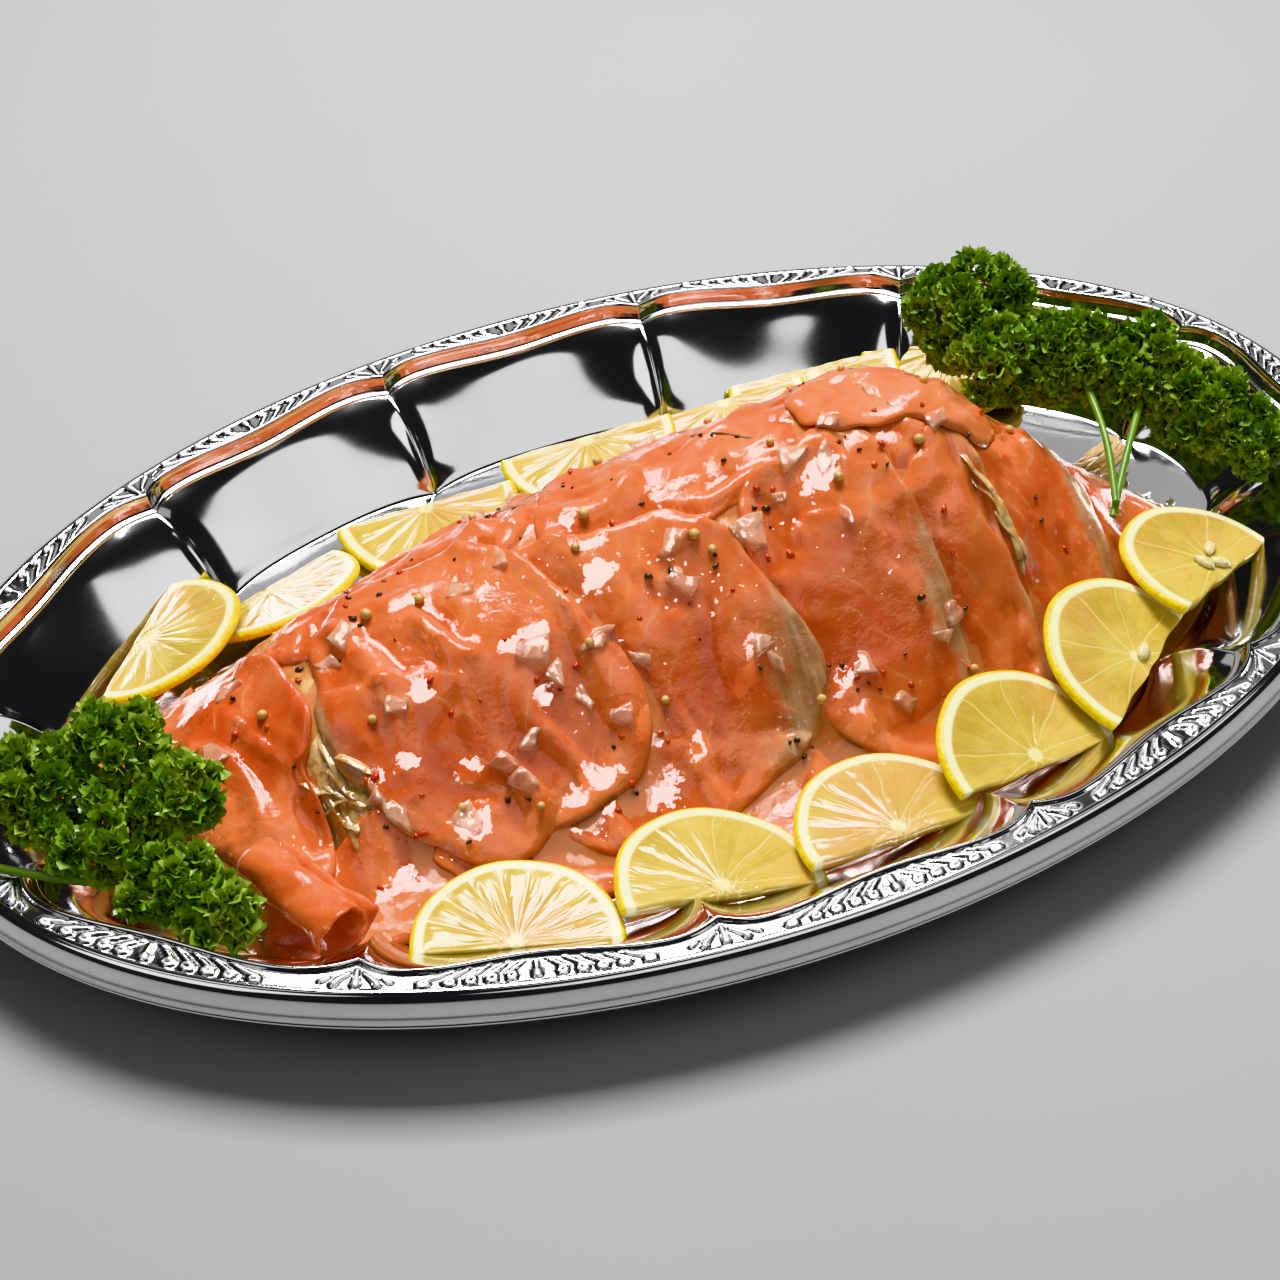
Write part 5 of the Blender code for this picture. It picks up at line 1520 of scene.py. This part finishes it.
# Toppings on the far side of the salmon, which the photograph doesn't show: where they lie,
# over which height, how many of each, and the least and the greatest size
FAR_X = (-130.0, 130.0)
FAR_Y = (14.0, 48.0)
FAR_HEIGHT = 14.0
FAR_DICE, FAR_DICE_SIZES = 18, (5.0, 9.0)
FAR_BALLS, BALL_SIZES = 8, (2.6, 3.9)
FAR_GRAINS, FAR_GRAIN_SIZES = 26, (0.9, 2.4)
FAR_FLAKES, FAR_FLAKE_SIZES = 20, (1.4, 3.0)
# Distance to both sides over which the slope at a spot is measured
SLOPE_REACH = 1.5


def on_surface(field, x, y, sink):
    """A spot on the field, sunk by a depth, and the field's slope there."""
    reach = SLOPE_REACH
    near = sampled(field, np.array([x, x + reach, x - reach, x, x]),
                   np.array([y, y, y, y + reach, y - reach]))
    normal = Vector((near[2] - near[1], near[4] - near[3], 2 * reach)).normalized()
    return Vector((x, y, near[0])) - normal * sink, normal


def turn_to(normal, spin):
    """Euler angles that stand a shape on a normal, spun about it."""
    rotation = normal.to_track_quat("Z", "Y").to_matrix() @ Matrix.Rotation(spin, 3, "Z")
    return tuple(rotation.to_euler("XYZ"))


def far_spots(draw, count, field):
    """Random places on the far side of the salmon."""
    spots = []
    while len(spots) < count:
        x, y = draw.uniform(*FAR_X), draw.uniform(*FAR_Y)
        if height_at(field, x, y) > FAR_HEIGHT:
            spots.append((x, y))
    return spots


def leaned(direction, draw, amount):
    """A direction leaned to a random side by up to an amount."""
    aside = Vector([draw.uniform(-1, 1) for _ in range(3)])
    return (direction + amount * aside).normalized()


def laid(draw, field, spots, sink, lean, sizes=None):
    """Spots turned to the surface: sizes come with them, or from a range."""
    places = []
    for spot in spots:
        x, y = spot[:2]
        size = spot[2] if sizes is None else draw.uniform(*sizes)
        place, normal = on_surface(field, x, y, sink * size)
        normal = leaned(normal, draw, lean)
        places.append((place, turn_to(normal, draw.uniform(0, ABOUT_A_TURN)), (size, size, size)))
    return places


def make_toppings(tree, field):
    """Diced onion, pale balls, cracked pepper and red flakes over the salmon."""
    draw = random.Random(5)
    onion = onion_finish("diced onion", (0.95, 0.45, 0.28), (0.99, 0.67, 0.47), 0.5)
    olive = seed_finish("pale seed", (0.62, 0.36, 0.11), (0.78, 0.52, 0.20), 0.3)
    pepper = seed_finish("cracked pepper", (0.008, 0.006, 0.005), (0.09, 0.055, 0.022), 0.45)
    red = seed_finish("red flake", (0.50, 0.012, 0.004), (0.76, 0.075, 0.012), 0.2)

    def seen(rows):
        """Rows of pixels and values as places in plan with the same values."""
        return [(*seen_at(row[0], row[1], field), *row[2:]) for row in rows]

    dice = laid(draw, field, seen(DICE_SEEN), 0.03, 0.30)
    dice += laid(draw, field, far_spots(draw, FAR_DICE, field), 0.03, 0.25, FAR_DICE_SIZES)
    scatter("onion_dice", tree, "dice", 6, dice, onion, "onion")

    spots = seen(BALLS_SEEN) + far_spots(draw, FAR_BALLS, field)
    balls = laid(draw, field, spots, -0.3, 0.1, BALL_SIZES)
    scatter("pale_seeds", tree, "ball", 1, balls, olive, "onion")

    grains = laid(draw, field, seen(PEPPER_SEEN), -0.2, 0.5)
    grains += laid(draw, field, far_spots(draw, FAR_GRAINS, field), -0.2, 0.5, FAR_GRAIN_SIZES)
    scatter("pepper_grains", tree, "crumb", 6, grains, pepper, "onion")

    flakes = laid(draw, field, seen(FLAKES_SEEN), -0.1, 0.4)
    flakes += laid(draw, field, far_spots(draw, FAR_FLAKES, field), -0.1, 0.4, FAR_FLAKE_SIZES)
    scatter("red_flakes", tree, "flake", 6, flakes, red, "salmon")


def even_directions(count, turn):
    """Directions spread evenly over a ball."""
    found = []
    for k in range(count):
        height = 1.0 - 2.0 * (k + 0.5) / count
        flat = math.sqrt(1.0 - height * height)
        around = turn + k * math.pi * (3.0 - math.sqrt(5.0))
        found.append(Vector((flat * math.cos(around), flat * math.sin(around), height)))
    return found


def head_places(lobes, draw, sizes):
    """Curls of leaf over the small round heads that make up each parsley lobe."""
    places = []
    for x, y, z, rx, ry, rz in lobes:
        radii = Vector((rx, ry, rz))
        small = HEAD_SHARE * (rx + ry + rz) / 3
        for out in even_directions(HEADS_PER_LOBE, draw.uniform(0, ABOUT_A_TURN)):
            out = leaned(out, draw, 0.25)
            if out.z < -0.8:
                continue
            push = draw.uniform(0.62, 0.80)
            centre = Vector((x, y, z)) + Vector([push * c * r for c, r in zip(out, radii)])
            ball = small * draw.uniform(0.85, 1.2)
            count = int(LEAVES_PER_HEAD * (ball / HEAD_RADIUS) ** 2)
            for leaf in even_directions(count, draw.uniform(0, ABOUT_A_TURN)):
                if leaf.dot(out) < -0.25:
                    continue
                leaf = leaned(leaf, draw, 0.2)
                spot = centre + leaf * (ball - 2.0 + draw.uniform(-1.2, 1.0))
                lean = leaned(leaf, draw, 0.35)
                size = draw.uniform(*sizes)
                turn = turn_to(lean, draw.uniform(0, ABOUT_A_TURN))
                places.append((spot, turn, (size, size, size)))
    return places


def stem_tree():
    """A node tree that sweeps a round stem along a path."""
    tree, source = new_tree("stem along a path", ("Radius", "Float"), ("Sides", "Int"))
    nodes, links = tree.nodes, tree.links
    curve = nodes.new("GeometryNodeMeshToCurve")
    circle = nodes.new("GeometryNodeCurvePrimitiveCircle")
    sweep = nodes.new("GeometryNodeCurveToMesh")
    sweep.inputs["Fill Caps"].default_value = True
    links.new(source.outputs["Geometry"], curve.inputs["Mesh"])
    links.new(curve.outputs["Curve"], sweep.inputs["Curve"])
    links.new(source.outputs["Radius"], circle.inputs["Radius"])
    links.new(source.outputs["Sides"], circle.inputs["Resolution"])
    links.new(circle.outputs["Curve"], sweep.inputs["Profile Curve"])
    end_tree(tree, source, sweep.outputs["Mesh"])
    return tree


def smooth_path(points, steps=10):
    """Points along a soft curve through the given ones."""
    points = [Vector(p) for p in points]
    path = []
    for i in range(len(points) - 1):
        before = points[max(i - 1, 0)]
        after = points[min(i + 2, len(points) - 1)]
        a, b = points[i], points[i + 1]
        for k in range(steps):
            t = k / steps
            square = 2 * before - 5 * a + 4 * b - after
            cube = 3 * a - before - 3 * b + after
            path.append(0.5 * (2 * a + (b - before) * t + square * t ** 2 + cube * t ** 3))
    path.append(points[-1])
    return path


def swept(name, tree, paths, radius, sides, finish, slot, nodes):
    """One piece of round strands along paths in millimetres."""
    points, edges = [], []
    for path in paths:
        start = len(points)
        points += [tuple(c * MM for c in p) for p in path]
        edges += [(start + k, start + k + 1) for k in range(len(path) - 1)]
    mesh = bpy.data.meshes.new(name)
    mesh.from_pydata(points, edges, [])
    grow(name, mesh, tree, {"Radius": radius * MM, "Sides": sides}, finish, slot, nodes)


def make_parsley(scatterer, sweeper):
    """Both bunches of curly parsley with their stems."""
    leaf = parsley_finish()
    stalk = stem_finish()
    draw = random.Random(21)
    for side, lobes, stems, sizes in (
        ("right", PARSLEY_RIGHT, STEMS_RIGHT, LEAF_SIZES_RIGHT),
        ("left", PARSLEY_LEFT, STEMS_LEFT, LEAF_SIZES_LEFT),
    ):
        node = "parsley_" + side
        places = head_places(lobes, draw, sizes)
        scatter("curly_leaves_" + side, scatterer, "leaflet", 5, places, leaf, "parsley", (node,))
        paths = [smooth_path(path) for path in stems]
        for x, y, z, _, _, rz in lobes:
            root = Vector(lobes[len(lobes) // 2][:3]) - Vector((0, 0, 8))
            middle = (Vector((x, y, z)) + root) / 2 - Vector((0, 0, 4))
            paths.append(smooth_path([root, middle, (x, y, z + 0.3 * rz)], 6))
        swept("stalks_" + side, sweeper, paths, STEM_RADIUS, STEM_SIDES, stalk, "parsley", (node,))


def flat_strip(path, wide, thick, points, quads):
    """Add a flat oval strip along a path to a mesh's points and quads."""
    start = len(points)
    path = [Vector(p) for p in path]
    sides = 8
    for k, spot in enumerate(path):
        run = (path[min(k + 1, len(path) - 1)] - path[max(k - 1, 0)]).normalized()
        aside = run.cross(Vector((0.0, 0.0, 1.0))).normalized()
        up = aside.cross(run)
        end = 0.35 if k in (0, len(path) - 1) else 1.0
        for m in range(sides):
            turn = 2 * math.pi * m / sides
            oval = wide * math.cos(turn) * aside + thick * math.sin(turn) * up
            points.append(spot + end * oval)
    for k in range(len(path) - 1):
        for m in range(sides):
            a, b = start + k * sides + m, start + k * sides + (m + 1) % sides
            quads.append((a, b, b + sides, a + sides))
    for base in (start, start + (len(path) - 1) * sides):
        for m in (1, 3, 5):
            quads.append((base, base + m, base + m + 1, base + m + 2))
    return points, quads


def open_back(bed, tray_field):
    """Places at the back of the onion heap that no slice covers, in plan."""
    covered = np.max(slice_reaches(), axis=0)
    middle = np.interp(GRID_X, MOUND_X, MOUND_RIDGE)
    seen = (bed - tray_field > 0.5) & (covered < 1.5) & (GRID_Y > middle + BACK_START)
    return np.stack([GRID_X[seen], GRID_Y[seen]], axis=-1)


def bowed_path(x, y, turn, length, bend, field, rise, fall=0.0):
    """A bowed path in plan, over the field by a rise, and lower at both ends by a fall."""
    path = []
    for k in range(9):
        t = k / 8 - 0.5
        px = x + length * (t * math.cos(turn) - bend * t * t * math.sin(turn))
        py = y + length * (t * math.sin(turn) + bend * t * t * math.cos(turn))
        path.append((px, py, height_at(field, px, py) + rise - fall * t * t))
    return path


def make_shreds(field, bed, tray_field, finish):
    """Onion strips that show in the gaps of the salmon, and where none lies over the bed."""
    draw = random.Random(8)
    points, quads = [], []
    for px, py, long, wide, heading, count, broad in SHRED_HEAPS:
        x0, y0 = seen_at(px, py, field)
        for _ in range(count):
            along, aside = draw.gauss(0, 0.4) * long, draw.gauss(0, 0.4) * wide
            turn = math.radians(heading) + draw.gauss(0, 0.22)
            main = math.radians(heading)
            x = x0 + along * math.cos(main) - aside * math.sin(main)
            y = y0 + along * math.sin(main) + aside * math.cos(main)
            length, bend = draw.uniform(12, 22), draw.uniform(-0.15, 0.15)
            rise = draw.uniform(-0.4, 0.5)
            path = bowed_path(x, y, turn, length, bend, field, rise, 2.4)
            flat_strip(path, broad * draw.uniform(0.7, 1.2), 0.55, points, quads)
    ground = np.maximum(bed, tray_field)
    spots = open_back(bed, tray_field)
    for _ in range(int(len(spots) * LATTICE ** 2 / BACK_STRIP_AREA)):
        x, y = spots[draw.randrange(len(spots))]
        turn = draw.gauss(0.0, 0.9)
        length, bend = draw.uniform(14, 26), draw.uniform(-0.2, 0.2)
        rise = draw.uniform(0.1, 1.0)
        path = bowed_path(x, y, turn, length, bend, ground, rise)
        flat_strip(path, draw.uniform(0.9, 1.8), 0.5, points, quads)
    piece = mesh_piece("onion_shreds", points, [np.array(quads)], finish)
    dress(piece, "onion", "onion_bed")


def make_skin_line(field, finish):
    """The thin dark line of skin on the ridge."""
    path = []
    for px, py in SKIN_LINE_SEEN:
        x, y = seen_at(px, py, field)
        path.append((x, y, height_at(field, x, y) + 0.35 * SKIN_LINE_WIDE))
    points, quads = flat_strip(smooth_path(path, 6), SKIN_LINE_WIDE, 0.6 * SKIN_LINE_WIDE, [], [])
    piece = mesh_piece("slice_skin_line", points, [np.array(quads)], finish)
    dress(piece, "salmon")


def make_pools(field, tray_field, finish):
    """Dressing that has gathered in the hollows between the slices."""
    level = blurred(field, DRESSING_BLUR) - DRESSING_DEPTH
    for spot, radius, height in POOLS:
        near = smoothstep(2.0 - np.hypot(GRID_X - spot[0], (GRID_Y - spot[1]) * 1.3) / radius)
        level = np.maximum(level, np.where(near > 0, height - 3.0 * (1.0 - near), 0.0))
    covered = np.max(slice_reaches(), axis=0)
    wet = (level - field > -0.4) & (field - tray_field > 1.0) & (covered > -5.0)
    wide = wet.copy()
    for j, i in ((0, 1), (0, -1), (1, 0), (-1, 0), (0, 2), (0, -2), (2, 0), (-2, 0)):
        wide |= np.roll(wet, (j, i), (0, 1))
    wet = wide & (field - tray_field > 1.0) & (pit_field() > -1.0)
    near = wet[:-1, :-1] & wet[1:, :-1] & wet[:-1, 1:] & wet[1:, 1:]
    j, i = np.nonzero(near)
    width = GRID_X.shape[1]
    quads = np.stack([j * width + i, j * width + i + 1, (j + 1) * width + i + 1,
                      (j + 1) * width + i], axis=-1)
    used, order = np.unique(quads, return_inverse=True)
    points = np.stack([GRID_X.ravel(), GRID_Y.ravel(), level.ravel()], axis=-1)[used]
    piece = mesh_piece("dressing", points, [order.reshape(-1, 4)], finish, outward=False)
    dress(piece, "salmon")


def make_pips(tree, finish):
    """Loose seeds on two of the lemon slices."""
    draw = random.Random(31)
    places = []
    for number, x, y in PIPS:
        rotation, spot = turned(*LEMONS[number][:2])
        place = rotation @ np.array((x, y, LEMON_THICK + PIP_RISE)) + spot
        turn = turn_to(Vector(rotation[:, 2]), draw.uniform(0, ABOUT_A_TURN))
        places.append((Vector(place), turn, (PIP_LENGTH, PIP_LENGTH, PIP_LENGTH)))
    scatter("lemon_pips", tree, "pip", 2, places, finish, "lemon")


def make_camera():
    """The camera that took the photograph."""
    camera = bpy.data.objects.new("camera", bpy.data.cameras.new("camera"))
    camera.data.sensor_width = SENSOR_WIDTH
    camera.data.sensor_fit = "HORIZONTAL"
    camera.data.lens = CAMERA_LENS
    matrix = Matrix((CAMERA_RIGHT, CAMERA_UP, CAMERA_BACK)).transposed().to_4x4()
    matrix.translation = Vector(CAMERA_SPOT) * MM
    camera.matrix_world = matrix
    bpy.context.scene.collection.objects.link(camera)
    bpy.context.scene.camera = camera


def make_light(name, spot, size, power):
    """A soft rectangular white light aimed at the middle of the tray."""
    data = bpy.data.lights.new(name, "AREA")
    data.shape = "RECTANGLE"
    data.size, data.size_y = size
    data.energy = power
    light = bpy.data.objects.new(name, data)
    light.location = spot
    light.rotation_euler = (-Vector(spot)).to_track_quat("-Z", "Y").to_euler()
    bpy.context.scene.collection.objects.link(light)


def make_studio():
    """Plain pale floor, a soft box high behind, dim cards behind and in front, a left fill."""
    mesh = bpy.data.meshes.new("floor")
    corners = [(x * FLOOR_HALF, y * FLOOR_HALF, -FLOOR_DROP)
               for x, y in ((-1, -1), (1, -1), (1, 1), (-1, 1))]
    mesh.from_pydata(corners, [], [(0, 1, 2, 3)])
    floor = bpy.data.objects.new("floor", mesh)
    mesh.materials.append(floor_finish())
    bpy.context.scene.collection.objects.link(floor)
    for row in LIGHTS:
        make_light(*row)
    world = bpy.data.worlds.new("room")
    world.use_nodes = True
    room = world.node_tree.nodes["Background"]
    room.inputs["Color"].default_value = ROOM_COLOUR
    room.inputs["Strength"].default_value = ROOM_STRENGTH
    bpy.context.scene.world = world
    bpy.context.scene.view_settings.view_transform = "Khronos PBR Neutral"


def main():
    """Set up the camera and the studio, then make every piece."""
    make_camera()
    make_studio()
    steel = steel_finish()
    make_tray(steel)
    make_band(steel)
    tray_field = node_heights("tray")
    bed, sheets, field, shine = lay_slices(tray_field)
    # How hollow the mound is: painted shade in the salmon's colour there, and an oilier surface
    hollow_shade_and_oil = np.clip((blurred(field, 4.0) - field) / 0.8, -1.0, 1.0)
    flesh = salmon_finish()
    for number, (under, over) in enumerate(sheets):
        make_slice(number, under, over, hollow_shade_and_oil, shine, flesh)
    make_roll(flesh)
    raw = onion_finish("raw onion", (0.62, 0.30, 0.09), (0.80, 0.54, 0.25), 1.0)
    make_bed(bed, tray_field, raw)
    lemon = lemon_finish()
    for number in range(len(LEMONS)):
        make_lemon(number, lemon)
    scatterer = scatter_tree()
    sweeper = stem_tree()
    make_shreds(field, bed, tray_field, raw)
    skin = seed_finish("skin line", (0.26, 0.12, 0.07), (0.40, 0.20, 0.12), 0.2, 160.0)
    make_skin_line(field, skin)
    make_pools(field, tray_field, dressing_finish())
    make_toppings(scatterer, field)
    make_pips(scatterer, seed_finish("lemon pip", (0.72, 0.60, 0.26), (0.86, 0.78, 0.46), 0.25))
    make_parsley(scatterer, sweeper)


main()
